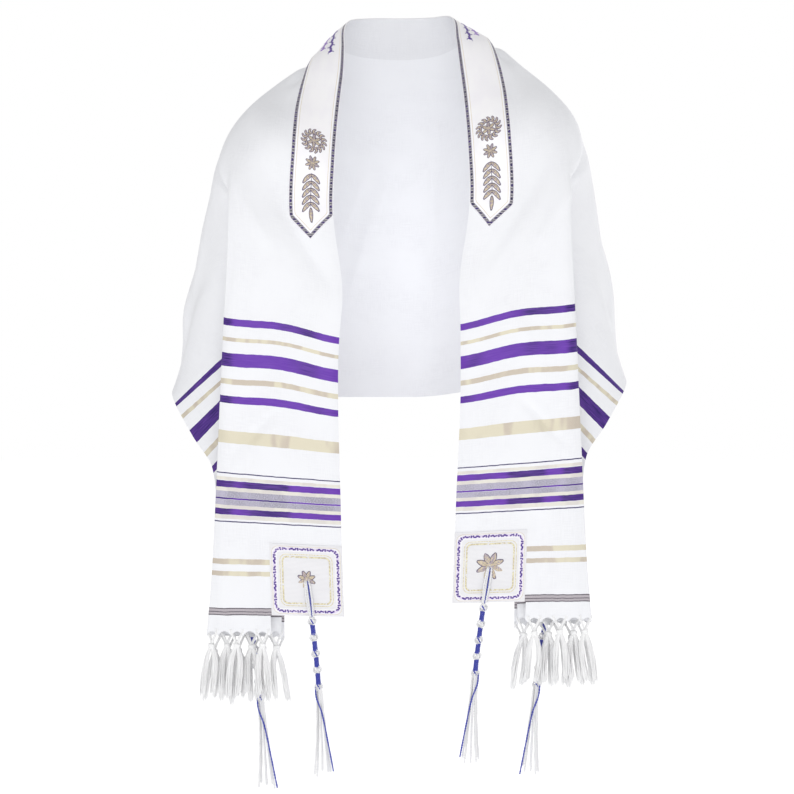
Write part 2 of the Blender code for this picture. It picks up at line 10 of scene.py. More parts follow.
import bpy
import numpy as np
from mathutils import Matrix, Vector


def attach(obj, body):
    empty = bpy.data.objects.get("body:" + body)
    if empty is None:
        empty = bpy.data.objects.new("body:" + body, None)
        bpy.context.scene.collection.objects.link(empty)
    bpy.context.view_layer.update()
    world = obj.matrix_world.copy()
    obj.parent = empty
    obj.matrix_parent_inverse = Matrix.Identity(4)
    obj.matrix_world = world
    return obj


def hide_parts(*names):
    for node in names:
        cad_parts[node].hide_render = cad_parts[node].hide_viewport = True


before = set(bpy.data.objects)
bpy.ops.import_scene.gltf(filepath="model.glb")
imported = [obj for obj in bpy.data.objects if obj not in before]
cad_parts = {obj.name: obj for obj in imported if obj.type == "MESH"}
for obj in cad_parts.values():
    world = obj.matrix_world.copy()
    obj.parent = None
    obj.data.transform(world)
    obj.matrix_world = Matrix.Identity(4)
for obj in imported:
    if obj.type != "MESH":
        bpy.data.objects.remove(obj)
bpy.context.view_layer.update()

TAU = 2 * math.pi
X_WAY, Y_WAY, UP = np.eye(3)

# ---- driving sizes
CLOTH_LENGTH = 1.87
CLOTH_WIDTH = 0.56
SLIP = 0.0010                # the cloth has slipped this far towards -X
CLOTH_SHELL = 0.0009         # thickness of the woven cloth
BAND_WIDTH = 0.057
BAND_SHELL = 0.0008
BAND_STRAIGHT = 0.402        # centre back to where the neckband starts to taper
BAND_TIP = 0.430
BAND_SKEW = 0.19             # its ends are level, where the cloth's own rows run aslant
SKEW_SPAN = (0.28, 0.40)     # along: where that begins, and where it is full
TIP_LEAN = 0.0045            # and the -X tip points straight down
PATCH_SIZE = 0.090
PATCH_SHELL = 0.0009
SHEET_GAP = 0.0002           # between the cloth and what is laid on it
HEADER = 0.0195              # strip of cloth above the fringe
HEADER_FIRST = 0.0915        # across: its two ends, then the first and last knot's middles
HEADER_LAST = 0.4690
FRINGE_FIRST = 0.1025
FRINGE_LAST = 0.4550
FRINGE_KNOTS = 12
LEG_SPREAD = 0.0075          # each knot ties two legs of yarn and two tassels
KNOT_DROP = 0.019
TASSEL_LENGTH = 0.064
TASSEL_SPREAD = 0.0060
KNOT_PLAY = 0.0010           # the last three vary by up to this much from one to the next
LENGTH_PLAY = 0.0050
SPREAD_PLAY = 0.0015
TZITZIT_HOLE = 0.0445        # eyelet from both edges of the corner
TZITZIT_LENGTH = 0.240
TZITZIT_KNOTS = (0.050, 0.070, 0.090, 0.110, 0.1315)     # how far below the eyelet
CORD_RADIUS = 0.0021
CORD_KNOT_RADIUS = 0.0043
CORD_CLEAR = 0.05            # length over which its middle moves forward to clear the knots
STRING_PLAY = 0.007
STRINGS = 8
TZITZIT = (
    # side, corner, swing out by its end, bow out half way down
    (-1, "front", -0.020, -0.004),
    (1, "front", -0.024, -0.005),
    (-1, "rear", -0.026, -0.004),
    (1, "rear", -0.028, -0.005),
)

# ---- guide lines of the cloth
# Each row is a place on one half of the cloth: distance along from the centre back, then
# how far out from the middle, how far back, and how high, all in mm.
NECK_EDGE = (
    (0, 0, 62, 42),
    (45, 42, 50, 39),
    (90, 69, 18, 26),
    (140, 74, -18, -16),
    (197, 78, -47, -60),
    (268, 83.5, -80, -120),
    (325, 86.5, -102, -172),
    (400, 87.5, -116, -247),
    (485, 75.5, -120, -336),
    (556, 76.5, -121, -402),
    (650, 76.5, -121, -490),
    (750, 74, -121, -583.5),
    (860, 71.2, -121, -689),
    (940, 68.2, -121, -767.5),
)
FOLD_EDGE = (                # the shoulder's crest, then the outer edge of the front panel
    (0, 0, 118, -80),
    (100, 114, 88, -40),
    (150, 145, 52, -38),
    (200, 167, 18, -57),
    (280, 194, -45, -103),
    (340, 209, -88, -158),
    (400, 215, -112, -222),
    (470, 217.5, -120, -292.4),
    (556, 222.2, -122, -378.4),
    (650, 226.6, -122, -472.4),
    (750, 231.2, -122, -572.4),
    (860, 236.8, -122, -682.4),
    (940, 243.6, -122, -763.4),
)
REAR_FOLD = (                # shoulder blade and arm, then the last fold behind the panel
    (0, 0, 134, -185),
    (100, 105, 132, -178),
    (200, 196, 94, -130),
    (280, 231, 28, -143),
    (340, 243, -20, -194),
    (400, 202, -80, -232),
    (470, 172, -88, -288),
    (556, 151, -89, -364),
    (650, 149, -89, -456),
    (750, 147, -89, -566),
    (860, 145, -88, -693),
    (940, 144, -88, -782),
)
ARM = (                      # the middle of what lies beyond the last fold
    (0, 0, 130, -330),
    (100, 103, 132, -325),
    (200, 203, 122, -280),
    (280, 253, 78, -282),
    (340, 270, 32, -318),
    (400, 270, -10, -330),
    (470, 257, -46, -366),
    (556, 229, -74, -430),
    (650, 194, -82, -512),
    (750, 188, -82, -611),
    (860, 187, -78, -707),
    (940, 187, -76, -788),
)
SELVEDGE = (                 # back hem, elbow, then the hidden edge behind the panel
    (0, 0, 122, -470),
    (100, 100, 124, -470),
    (200, 194, 124, -470),
    (280, 250, 92, -470),
    (340, 279, 60, -470),
    (400, 292, 26, -468),
    (470, 298, -5, -462),
    (556, 289, -40, -481),
    (600, 265, -62, -520),
    (650, 238, -76, -562),
    (750, 232, -80, -652),
    (860, 232, -72, -723),
    (940, 232, -68, -790),
)
SHOULDER_RISE = 0.015        # the +X shoulder stands this much higher
RISE_SPAN = (0.02, 0.16)     # along: where that begins, and where it is full
COLLAR_STAND = 0.016         # the cloth stands up this much round the sides of the neck
STAND_SPAN = (0.0, 0.08, 0.16, 0.26)        # along: where that begins, is full, fades and ends
COLLAR_FORWARD = 0.020       # the neckband stands this far forward over the collar bones
FORWARD_SPAN = (0.08, 0.20, 0.28, 0.42)
NECK_LEAN = 0.005            # the -X side of the neck opening lies this much further in
LEAN_SPAN = (0.08, 0.20, 0.44, 0.60)
COLLAR_DROP = 0.022          # and that shoulder falls away this much beside the neckband
DROP_SPAN = (0.06, 0.14, 0.20, 0.34)
FULL_SHOULDER = 0.009        # the +X shoulder is this much fuller towards the arm
FULL_SPAN = (0.13, 0.21, 0.26, 0.38)
INNER_LEAN = 0.003           # the +X panel hangs this much further in at its inner hem
INNER_SPAN = (0.62, 0.86)
FOLD_SHARE = 0.26            # shares of the way across: where the guide lines lie, from the
REAR_SHARE = 0.45            # neck edge at 0 to the selvedge at 1
ARM_SHARE = 0.72
FOLDS = 4
GATHER_START = 0.30          # along: where the cloth's folds begin, and where they are full
GATHER_FULL = 0.43
FRONT_SHARES = (0.33, 0.67)
GUIDES = 1 + len(FRONT_SHARES) + 2 * FOLDS + 4
SPANS = GUIDES - 3
TURN = 2.5                   # place of the first fold; the next ones lie two places apart
TURN_HALF = 0.28
FIRST_TURN = TURN - TURN_HALF

WAVE_HEIGHT = 0.011          # waves of the back hem towards each elbow
WAVE_LENGTH = 0.12
WAVE_SPAN = (0.09, 0.17, 0.36, 0.44)
WAVE_TOP = 0.20              # across: where they begin

CROWN = 0.0036               # a front panel stands out this much between its rounded edges
CROWN_SPAN = (0.36, 0.47)
INNER_ROUND = 0.007
OUTER_ROUND = 0.005
PANEL_EDGE = (               # along, and how far across its outer edge lies
    (0.360, 0.450, 0.500, 0.700, 0.900),
    (0.126, 0.136, 0.143, 0.150, 0.162),
)
STRIPE_BOW = 0.0060          # the upper stripes bow up this much in the middle of the panel
BOW_SPAN = (0.44, 0.52, 0.60, 0.74)

# Folds and creases: a line on the cloth, how far it stands out (troughs below 0), and its
# half width, all in mm.  Side 0 lies on both halves.
CREASE_SPAN = (-0.05, 0.25, 0.75, 1.05)     # shares of its line, as in the spans above
CREASES = (
    # side, along 1, across 1, along 2, across 2, height, half width
    (0, 270, 150, 490, 10, -4, 20),
    (0, 620, 100, 800, 130, -2.5, 16),
    (0, 150, 60, 210, 85, -3, 9),
    # front panels
    (-1, 560, 72, 620, 72, -1.4, 5),
    (-1, 655, 75, 722, 134, -2.6, 4),
    (-1, 790, 98, 925, 102, -3.4, 11),
    (-1, 316, 108, 496, 12, -1.5, 6.5),
    (-1, 355, 135, 455, 85, 1.8, 10),
    (1, 336, 116, 492, 24, -1.5, 6.5),
    (1, 655, 75, 722, 134, -2.6, 4),
    (1, 520, 50, 620, 110, 1.2, 8),
    (1, 790, 104, 925, 112, -3.2, 11),
    (1, 385, 140, 470, 90, 1.8, 10),
    # centre back
    (-1, 0, 172, 76, 444, -2.6, 8),
    (-1, 35, 200, 85, 360, -1.5, 6),
    (1, 48, 132, 48, 356, -1.3, 4.8),
    (1, 48, 340, 44, 560, -1, 4.8),
    (1, 30, 85, 75, 100, -1.6, 5.5),
    # the shoulder beside the neckband
    (0, 100, 70, 215, 68, -6, 9.5),
    (0, 215, 66, 330, 63, -2.2, 8),
    # shoulder blades and arms
    (0, 165, 160, 215, 520, -5.5, 16),
    (0, 205, 170, 275, 500, 5, 17),
    (-1, 245, 180, 335, 480, -5.5, 17),
    (1, 255, 170, 330, 500, -5.5, 18),
    (-1, 120, 140, 150, 450, -4, 17),
    (1, 110, 150, 130, 420, 4, 18),
    (-1, 100, 120, 160, 300, -3, 14),
    (1, 90, 130, 150, 330, -3, 13),
    (0, 200, 200, 330, 420, 4, 18),
    (1, 300, 80, 358, 470, 5.8, 36),
    (-1, 335, 260, 375, 460, 3.4, 28),
    (0, 260, 190, 400, 440, -3, 16),
    (-1, 170, 260, 240, 520, -3, 14),
    (1, 150, 240, 230, 500, -3, 15),
    (-1, 310, 340, 420, 520, 2.2, 14),
    (1, 330, 330, 430, 510, 2.2, 15),
)


# ---- the cloth's form
def smooth(start, end, value):
    """0 before start and 1 after end, soft at both."""
    share = np.clip((value - start) / (end - start), 0.0, 1.0)
    return share * share * (3.0 - 2.0 * share)


def window(span, value):
    """0 outside the span's ends and 1 between its two middle values."""
    return smooth(span[0], span[1], value) * (1.0 - smooth(span[2], span[3], value))


def blend(one, other, share):
    return one + (other - one) * share


def unit(vectors):
    return vectors / np.linalg.norm(vectors, axis=-1, keepdims=True)


def run_lengths(path):
    """Distance run along a path at each of its points."""
    return np.concatenate(([0.0], np.cumsum(np.linalg.norm(np.diff(path, axis=0), axis=1))))


def through(places, points, place):
    """Smooth curve through points that stand at the given places."""
    i = int(np.clip(np.searchsorted(places, place) - 1, 0, len(places) - 2))
    before, after = max(i - 1, 0), min(i + 2, len(places) - 1)
    span = places[i + 1] - places[i]
    leave = (points[i + 1] - points[before]) / (places[i + 1] - places[before]) * span
    arrive = (points[after] - points[i]) / (places[after] - places[i]) * span
    f = (place - places[i]) / span
    return ((1 + 2 * f) * (1 - f) ** 2 * points[i] + f * (1 - f) ** 2 * leave
            + f * f * (3 - 2 * f) * points[i + 1] + f * f * (f - 1) * arrive)


def guide(table, along):
    """Point of a guide line; the row mirrored past the centre back keeps it smooth there."""
    rows = np.array([table[1], *table]) / 1000
    rows[0, :2] *= -1.0
    return through(rows[:, 0], rows[:, 1:], along)


def section_guides(along):
    """Guide points of one section of the half cloth, from neck edge to selvedge."""
    open_line = np.array([guide(table, along)
                          for table in (NECK_EDGE, FOLD_EDGE, REAR_FOLD, ARM, SELVEDGE)])
    neck, fold, rear, arm, selvedge = open_line
    shares = np.array([0.0, FOLD_SHARE, REAR_SHARE, ARM_SHARE, 1.0])
    gathered = smooth(GATHER_START, GATHER_FULL, along)
    points = [neck]
    for share in FRONT_SHARES:
        draped = through(shares, open_line, share * FOLD_SHARE)
        draped[2] += COLLAR_STAND * window(STAND_SPAN, along)
        draped[1] -= COLLAR_FORWARD * window(FORWARD_SPAN, along)
        points.append(blend(draped, blend(neck, fold, share), gathered))
    for step in range(2 * FOLDS):
        number = step // 2
        folded = np.array([
            rear[0] if number % 2 else fold[0],
            blend(fold[1], rear[1], (number + step % 2) / FOLDS),
            blend(fold[2], rear[2], (2 * number + 1) / (2 * FOLDS)),
        ])
        share = blend(FOLD_SHARE, REAR_SHARE, step / (2 * FOLDS - 1))
        points.append(blend(through(shares, open_line, share), folded, gathered))
    for share, start, end in (((REAR_SHARE + ARM_SHARE) / 2, rear, arm),
                              ((ARM_SHARE + 1.0) / 2, arm, selvedge)):
        points += [blend(through(shares, open_line, share), (start + end) / 2, gathered), end]
    return np.array(points)


def curve_weights(places):
    """Weights of the guide points at some places on a section's smooth cubic curve."""
    knots = np.concatenate(([0.0] * 3, np.arange(SPANS + 1.0), [float(SPANS)] * 3))
    places = np.clip(places, 0.0, SPANS - 1e-9)[:, None]
    weights = ((knots[:-1] <= places) & (places < knots[1:])).astype(float)
    for degree in (1, 2, 3):
        left = knots[degree:-1] - knots[:-degree - 1]
        right = knots[degree + 1:] - knots[1:-degree]
        rise = np.where(left > 0, (places - knots[:-degree - 1]) / np.where(left > 0, left, 1), 0)
        fall = np.where(right > 0, (knots[degree + 1:] - places) / np.where(right > 0, right, 1), 0)
        weights = rise * weights[:, :-1] + fall * weights[:, 1:]
    return weights


FINE_PLACES = np.linspace(0.0, SPANS, 20 * SPANS + 1)
FINE_WEIGHTS = curve_weights(FINE_PLACES)


class Section:
    """One section of the cloth: its smooth curve, and where on it a distance across falls."""

    def __init__(self, along):
        self.guides = section_guides(abs(along))
        inwards = 1.0 - np.array([0.0, *FRONT_SHARES])
        if along < 0:
            self.guides[:, 0] *= -1.0
            self.guides[:3, 0] += NECK_LEAN * window(LEAN_SPAN, -along) * inwards
            self.guides[2, 2] -= COLLAR_DROP * window(DROP_SPAN, -along)
        else:
            self.guides[:, 2] += SHOULDER_RISE * smooth(*RISE_SPAN, along)
            self.guides[3:8, 2] += FULL_SHOULDER * window(FULL_SPAN, along)
            self.guides[:3, 0] -= INNER_LEAN * smooth(*INNER_SPAN, along) * inwards
        lengths = run_lengths(FINE_WEIGHTS @ self.guides)
        panel = np.interp(FIRST_TURN, FINE_PLACES, lengths)
        spread = (CLOTH_WIDTH - panel) / (lengths[-1] - panel)
        self.across = np.where(lengths < panel, lengths, panel + (lengths - panel) * spread)

    def place(self, across):
        return np.interp(across, self.across, FINE_PLACES)

    def across_at(self, place):
        return np.interp(place, FINE_PLACES, self.across)


def relief(along, across):
    """How far folds and creases move the cloth out, at signed places along."""
    out = np.zeros(np.broadcast(along, across).shape)
    for side, *numbers in CREASES:
        a1, c1, a2, c2, height, half_width = (number / 1000 for number in numbers)
        for hand in ((side,) if side else (-1, 1)):
            run = ((hand * along - a1) * (a2 - a1) + (across - c1) * (c2 - c1))
            run = run / ((a2 - a1) ** 2 + (c2 - c1) ** 2)
            held = np.clip(run, 0.0, 1.0)
            gap = np.hypot(hand * along - blend(a1, a2, held), across - blend(c1, c2, held))
            out += height * window(CREASE_SPAN, run) * np.exp(-(gap / half_width) ** 2)
    half = np.abs(along)
    edge = np.maximum(np.interp(half, *PANEL_EDGE) - across, 0.0)
    rounded = (1 - np.exp(-across / INNER_ROUND)) * (1 - np.exp(-edge / OUTER_ROUND))
    out += CROWN * smooth(*CROWN_SPAN, half) * rounded
    wave = window(WAVE_SPAN, half) * smooth(WAVE_TOP, CLOTH_WIDTH, across)
    return out + WAVE_HEIGHT * wave * np.sin(TAU * (half - WAVE_SPAN[0]) / WAVE_LENGTH)


def grid_normals(points):
    """Unit normals of a grid of points, away from the wearer."""
    return unit(np.cross(np.gradient(points, axis=0), np.gradient(points, axis=1)))


class Lay:
    """A stretch of the cloth's middle surface, on which pieces are laid out."""

    def __init__(self, alongs, places_of):
        self.along = np.asarray(alongs, float)
        points = []
        across = []
        for along in self.along:
            section = Section(along)
            places = places_of(section)
            points.append(curve_weights(places) @ section.guides)
            across.append(section.across_at(places))
        points = np.array(points)
        self.across = np.array(across)
        lift = relief(self.along[:, None], self.across)
        self.points = points + grid_normals(points) * lift[..., None]
        self.normals = grid_normals(self.points)

    def rows(self, along):
        """Row before each place along, and the share of the way to the next one."""
        row = np.interp(along, self.along, np.arange(len(self.along)))
        before = np.minimum(row.astype(int), len(self.along) - 2)
        return before, (row - before)[..., None]

    def at(self, along, across, lift=0.0):
        """Points above even columns of the lay."""
        columns = self.across[0]
        r0, fr = self.rows(along)
        c = np.interp(across, columns, np.arange(len(columns)))
        c0 = np.minimum(c.astype(int), len(columns) - 2)
        fc = (c - c0)[..., None]

        def between(field):
            near = field[r0, c0] * (1 - fc) + field[r0, c0 + 1] * fc
            far = field[r0 + 1, c0] * (1 - fc) + field[r0 + 1, c0 + 1] * fc
            return near * (1 - fr) + far * fr

        return between(self.points) + between(self.normals) * np.asarray(lift)[..., None]


def even(acrosses):
    """Columns of a lay at fixed distances across."""
    return lambda section: section.place(np.asarray(acrosses))


def fold_turns(between):
    """Places over the folds, close together on each turn, to the end of the last one."""
    turns = []
    for number in range(FOLDS):
        turn = TURN + 2 * number
        turns += list(np.linspace(turn - TURN_HALF, turn + TURN_HALF, 7))
        turns += list(np.linspace(turn + TURN_HALF, turn + 2 - TURN_HALF, between))[1:-1]
    return turns[1:2 - between]


def end_along(side):
    """Distance from the centre back to the lower end of one side, header included."""
    return CLOTH_LENGTH / 2 - side * SLIP


# ---- mesh tools
TURNED = (0, 3, 2, 1)        # order of a face's corners that winds it the other way round


class Bag:
    """Faces gathered from many small forms, with three numbers kept at each point."""

    def __init__(self):
        self.points = []
        self.faces = []
        self.marks = []
        self.slots = []
        self.count = 0

    def add(self, points, faces, marks, slot=0):
        self.points.append(points.reshape(-1, 3))
        self.marks.append(marks.reshape(-1, 3))
        self.faces += (faces + self.count).tolist()
        self.slots += [slot] * len(faces)
        self.count += points.size // 3

    def add_rings(self, points, marks, slot, corners=(0, 1, 2, 3)):
        """Closed strand through rings of points, its faces' corners in the given order."""
        rows, ring = points.shape[:2]
        r = np.arange(rows - 1)[:, None] * ring
        c = np.arange(ring)[None, :]
        on = (c + 1) % ring
        faces = np.stack([r + c, r + on, r + ring + on, r + ring + c], axis=2).reshape(-1, 4)
        start = self.count
        self.add(points, faces[:, corners], marks, slot)
        way = -1 if corners == TURNED else 1
        for first, order in ((0, -way), ((rows - 1) * ring, way)):
            self.faces.append((start + first + np.arange(ring))[::order].tolist())
            self.slots.append(slot)

    def build(self, name, materials, sharp=75.0):
        mesh = bpy.data.meshes.new(name)
        mesh.from_pydata(np.concatenate(self.points).tolist(), [], self.faces)
        for material in materials:
            mesh.materials.append(material)
        mesh.polygons.foreach_set("material_index", self.slots)
        place = mesh.attributes.new("place", "FLOAT_VECTOR", "POINT")
        place.data.foreach_set("vector", np.concatenate(self.marks).astype(np.float32).ravel())
        mesh.shade_smooth()
        mesh.set_sharp_from_angle(angle=math.radians(sharp))
        thing = bpy.data.objects.new(name, mesh)
        bpy.context.scene.collection.objects.link(thing)
        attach(thing, "root")
        return thing


def shell(name, points, along, across, thickness, material):
    """Piece of cloth: a closed thin shell about a grid.

    Its marks are along, across, and 0 on the outside or 1 on the inside.
    """
    rows, columns = points.shape[:2]
    count = rows * columns
    half = grid_normals(points) * thickness / 2
    marks = np.concatenate([np.stack(np.broadcast_arrays(along, across, inside), axis=2)
                            for inside in (0.0, 1.0)])
    number = np.arange(count).reshape(rows, columns)
    first = number[:-1, :-1].ravel()
    cells = np.stack([first, first + columns, first + columns + 1, first + 1], axis=1)
    rim = np.concatenate([number[0, ::-1], number[1:, 0], number[-1, 1:], number[-2:0:-1, -1]])
    on = np.roll(rim, -1)
    sides = np.stack([rim, on, on + count, rim + count], axis=1)
    faces = np.concatenate([cells, cells[:, ::-1] + count, sides[:, ::-1]])
    bag = Bag()
    bag.add(np.concatenate([points + half, points - half]), faces, marks)
    return bag.build(name, [material])


def path_frames(path):
    """Two directions square to a path and to each other, at each of its points."""
    tangents = unit(np.gradient(path, axis=0))
    start = Y_WAY if abs(tangents[0, 1]) < 0.9 else X_WAY
    first = np.empty_like(path)
    for i, tangent in enumerate(tangents):
        start = unit(start - tangent * (start @ tangent))
        first[i] = start
    return first, np.cross(tangents, first)


def add_tube(bag, path, radii, sides, mark, slot=0):
    """Closed round strand along a path; its marks are length, turn and the given number."""
    radii = np.broadcast_to(radii, len(path))
    one, other = path_frames(path)
    turns = TAU * np.arange(sides) / sides
    ring = one[:, None] * np.cos(turns)[:, None] + other[:, None] * np.sin(turns)[:, None]
    marks = np.stack(np.broadcast_arrays(run_lengths(path)[:, None], turns, mark), axis=2)
    bag.add_rings(path[:, None] + ring * radii[:, None, None], marks, slot)


def smooth_path(points, count):
    """A finer smooth path through some points."""
    points = np.array(points)
    places = run_lengths(points)
    return np.array([through(places, points, place)
                     for place in np.linspace(0.0, places[-1], count)])


PLIES = 2
PLY_OUT = 0.48               # a strand's distance from its cord's middle, and its radius,
PLY_RADIUS = 0.58            # as shares of the cord's radius


def add_plied(bag, path, radius, mark, slot, pitch=0.006, sides=5):
    """Cord of a few strands twisted round one another."""
    one, other = path_frames(path)
    for ply in range(PLIES):
        turn = TAU * (run_lengths(path) / pitch + ply / PLIES)
        away = radius * PLY_OUT * (one * np.cos(turn)[:, None] + other * np.sin(turn)[:, None])
        add_tube(bag, path + away, radius * PLY_RADIUS, sides, mark + ply * 0.3, slot)


def around(middle, one, other, turns):
    """Points round a middle, on the ellipse of two directions."""
    return middle + one * np.cos(turns)[:, None] + other * np.sin(turns)[:, None]


# ---- materials
class Value:
    """A number or colour from a material's nodes, with which sums are written."""

    def __init__(self, shader, socket):
        self.shader = shader
        self.socket = socket

    def __add__(self, other):
        return self.shader.math("ADD", self, other)

    def __sub__(self, other):
        return self.shader.math("SUBTRACT", self, other)

    def __rsub__(self, other):
        return self.shader.math("SUBTRACT", other, self)

    def __mul__(self, other):
        return self.shader.math("MULTIPLY", self, other)

    def __abs__(self):
        return self.shader.math("ABSOLUTE", self)

    def near(self, middle, reach):
        """1 within reach of the middle number, and 0 elsewhere."""
        return self.shader.math("COMPARE", self, middle, reach)

    def ramp(self, low, high):
        """0 up to low and 1 from high on, soft at both."""
        return self.shader.new("MapRange", {0: self, 1: low, 2: high}, 0,
                               interpolation_type="SMOOTHSTEP")


class Shader:
    """A material and its nodes."""

    def __init__(self, name, **sockets):
        self.material = bpy.data.materials.new(name)
        self.material.use_nodes = True
        self.tree = self.material.node_tree
        self.surface = self.tree.nodes["Principled BSDF"]
        for socket, value in sockets.items():
            self.put(socket, value)

    def new(self, kind, inputs, output, **settings):
        """A node's output, as a value."""
        node = self.tree.nodes.new("ShaderNode" + kind)
        for setting, value in settings.items():
            setattr(node, setting, value)
        for socket, value in inputs.items():
            self.join(node.inputs[socket], value)
        return Value(self, node.outputs[output])

    def join(self, socket, value):
        if isinstance(value, Value):
            self.tree.links.new(value.socket, socket)
        elif socket.type == "RGBA":
            socket.default_value = (*value, 1.0)
        else:
            socket.default_value = value

    def put(self, socket, value):
        """Value of one of the surface's own sockets."""
        self.join(self.surface.inputs[socket.replace("_", " ")], value)

    def math(self, operation, *values):
        return self.new("Math", dict(enumerate(values)), 0, operation=operation)

    def mix(self, share, one, other):
        return self.new("Mix", {0: share, 6: one, 7: other}, 2, data_type="RGBA")

    def place(self):
        """The three numbers kept at each point of a mesh."""
        self.vector = self.new("Attribute", {}, "Vector", attribute_name="place")
        first = self.new("SeparateXYZ", {0: self.vector}, 0)
        return [Value(self, socket) for socket in first.socket.node.outputs]

    def noise(self, scale, detail=2.0):
        """Noise about 0.5, with its own scale for each of those numbers."""
        fine = self.new("VectorMath", {0: self.vector, 1: scale}, 0, operation="MULTIPLY")
        return self.new("TexNoise", {"Vector": fine, "Scale": 1.0, "Detail": detail}, 0)

    def finish(self, colour, height, distance, strength):
        self.put("Base Color", colour)
        self.put("Normal", self.new("Bump", {"Height": height, "Distance": distance,
                                             "Strength": strength}, 0))
        return self.material


WEAVE_PITCH = 0.0008         # two threads of the weave
WANDER = 0.0012              # how much the stripes' edges wander
WHITE = (0.865, 0.872, 0.90)
WHITE_SHADE = (0.825, 0.830, 0.86)
PURPLE = (0.125, 0.032, 0.385)
# the satin in painted shade
PURPLE_SHADED = (0.020, 0.008, 0.115)
# painted highlight of the satin's threads
PURPLE_GLEAM = (0.21, 0.075, 0.50)
# the satin's painted highlight, dimmed by painted shade over the elbow
ELBOW_SHADED_GLEAM = (0.07, 0.025, 0.26)
GOLD = (0.70, 0.65, 0.51)
GOLD_BEIGE = (0.57, 0.50, 0.42)
GOLD_GLINT = (0.80, 0.76, 0.66)
LAVENDER = (0.45, 0.425, 0.54)
LAVENDER_GREY = (0.29, 0.28, 0.34)
LAVENDER_PALE = (0.57, 0.55, 0.65)
NAVY = (0.040, 0.030, 0.130)
HEM_GREY = (0.44, 0.41, 0.44)
HEM_PALE = (0.52, 0.47, 0.50)
HEM_DARK = (0.11, 0.095, 0.12)
# the cloth's inner side in painted shade
INNER_SHADE = (0.30, 0.30, 0.31)
STRIPES = {                  # each stripe's first and last mm, from the cloth's end
    "hem grey": ((18.7, 27.8),),
    "hem dark": ((18.7, 19.9), (22.5, 23.5), (26.6, 27.8)),
    "gold": ((67.2, 73.0), (81.6, 88.3), (231.4, 246.7), (304.3, 311.0), (358.1, 362.9)),
    "navy": ((133.6, 135.0), (193.6, 195.0)),
    "pale gold": ((137.6, 142.4), (150.4, 154.8), (171.8, 176.6), (185.6, 189.6)),
    "purple": ((142.8, 150.4), (161.7, 163.8), (176.6, 184.8), (280.6, 289.8), (326.4, 343.4),
               (377.6, 386.8)),
    "lavender": ((154.8, 161.4), (164.0, 171.8)),
}


def woven_cloth():
    """Striped cloth: marks are the places along and across, and 1 on the inner side."""
    shader = Shader("woven_cloth", Roughness=0.75, Sheen_Weight=0.06, Sheen_Roughness=0.5,
                    Specular_IOR_Level=0.25)
    along, across, inner = shader.place()
    half = abs(along + SLIP)
    from_end = CLOTH_LENGTH / 2 + WANDER / 2 - half - shader.noise((40, 90, 0), 1.0) * WANDER
    masks = {}
    for kind, spans in STRIPES.items():
        for first, last in spans:
            band = from_end.near((first + last) / 2000, (last - first) / 2000)
            masks[kind] = shader.math("MAXIMUM", masks[kind], band) if kind in masks else band

    yarn = shader.noise((900, 60, 1), 3.0) + shader.noise((50, 1100, 1))
    cloudy = shader.noise((14, 18, 1), 3.0)
    white = shader.mix(yarn.ramp(0.75, 1.25), WHITE_SHADE, WHITE)
    white = shader.mix(cloudy.ramp(0.35, 0.65), white, WHITE)

    # satin: random tone, and painted shade towards a panel's outer edge, in the middle of its
    # lower stripes and over the elbow; its fine gleam lines are painted highlights, dimmer over the
    # elbow
    edge = across.ramp(0.128, 0.146)
    middle = abs(across - 0.088).ramp(0.030, 0.012) * from_end.ramp(0.300, 0.180)
    elbow_shade = across.ramp(0.20, 0.235) * across.ramp(0.47, 0.42)
    tone_and_shade = shader.noise((5, 16, 1), 1.5) - edge * 0.35 - middle * 0.30 - elbow_shade * 0.30
    satin = shader.mix(tone_and_shade.ramp(0.28, 0.55), PURPLE_SHADED, PURPLE)
    gleam = shader.mix(elbow_shade, PURPLE_GLEAM, ELBOW_SHADED_GLEAM)
    satin = shader.mix(shader.noise((1500, 40, 1), 1.0).ramp(0.2, 1.1), satin, gleam)
    gold = shader.mix(shader.noise((12, 42, 1)).ramp(0.42, 0.56), GOLD_BEIGE, GOLD)
    gold = shader.mix(shader.noise((1400, 1400, 1)).ramp(0.5, 1.0), gold, GOLD_GLINT)
    speckle = shader.noise((1100, 700, 1))
    lavender = shader.mix(shader.noise((8, 22, 1)).ramp(0.4, 0.6), LAVENDER, LAVENDER_GREY)
    dyes = {
        "hem grey": shader.mix(speckle.ramp(0.4, 0.7), HEM_GREY, HEM_PALE),
        "hem dark": HEM_DARK,
        "gold": gold,
        "pale gold": shader.mix(0.45, gold, WHITE),
        "lavender": shader.mix(speckle.ramp(0.35, 0.75), lavender, LAVENDER_PALE),
        "navy": NAVY,
        "purple": satin,
    }
    colour = white
    for kind, dye in dyes.items():
        colour = shader.mix(masks[kind], colour, dye)
    # painted shade: the inner side is greyed a little, and more where the neckband lies on its
    # other side
    band_shadow = (shader.math("LESS_THAN", across, BAND_WIDTH) * inner
                  * shader.math("LESS_THAN", half, BAND_STRAIGHT))
    colour = shader.mix(inner * 0.06 + band_shadow * 0.10, colour, INNER_SHADE)
    shader.put("Roughness", 0.78 - (masks["purple"] * 0.38 + masks["gold"] * 0.30))
    shader.put("Metallic", masks["gold"] * 0.12)
    turn = TAU / WEAVE_PITCH
    weave = shader.math("SINE", across * turn) * shader.math("SINE", along * turn)
    return shader.finish(colour, weave * 0.10 + yarn * 0.6 + cloudy * 2.5, 0.00025, 0.5)


BORDER_STEP = 0.0077         # one dark and one pale block of the neckband's border
BORDER_EDGE = 0.0031         # from the band's edge to the border's middle, and its half width
BORDER_HALF = 0.0021
STITCH_STEP = 0.0030


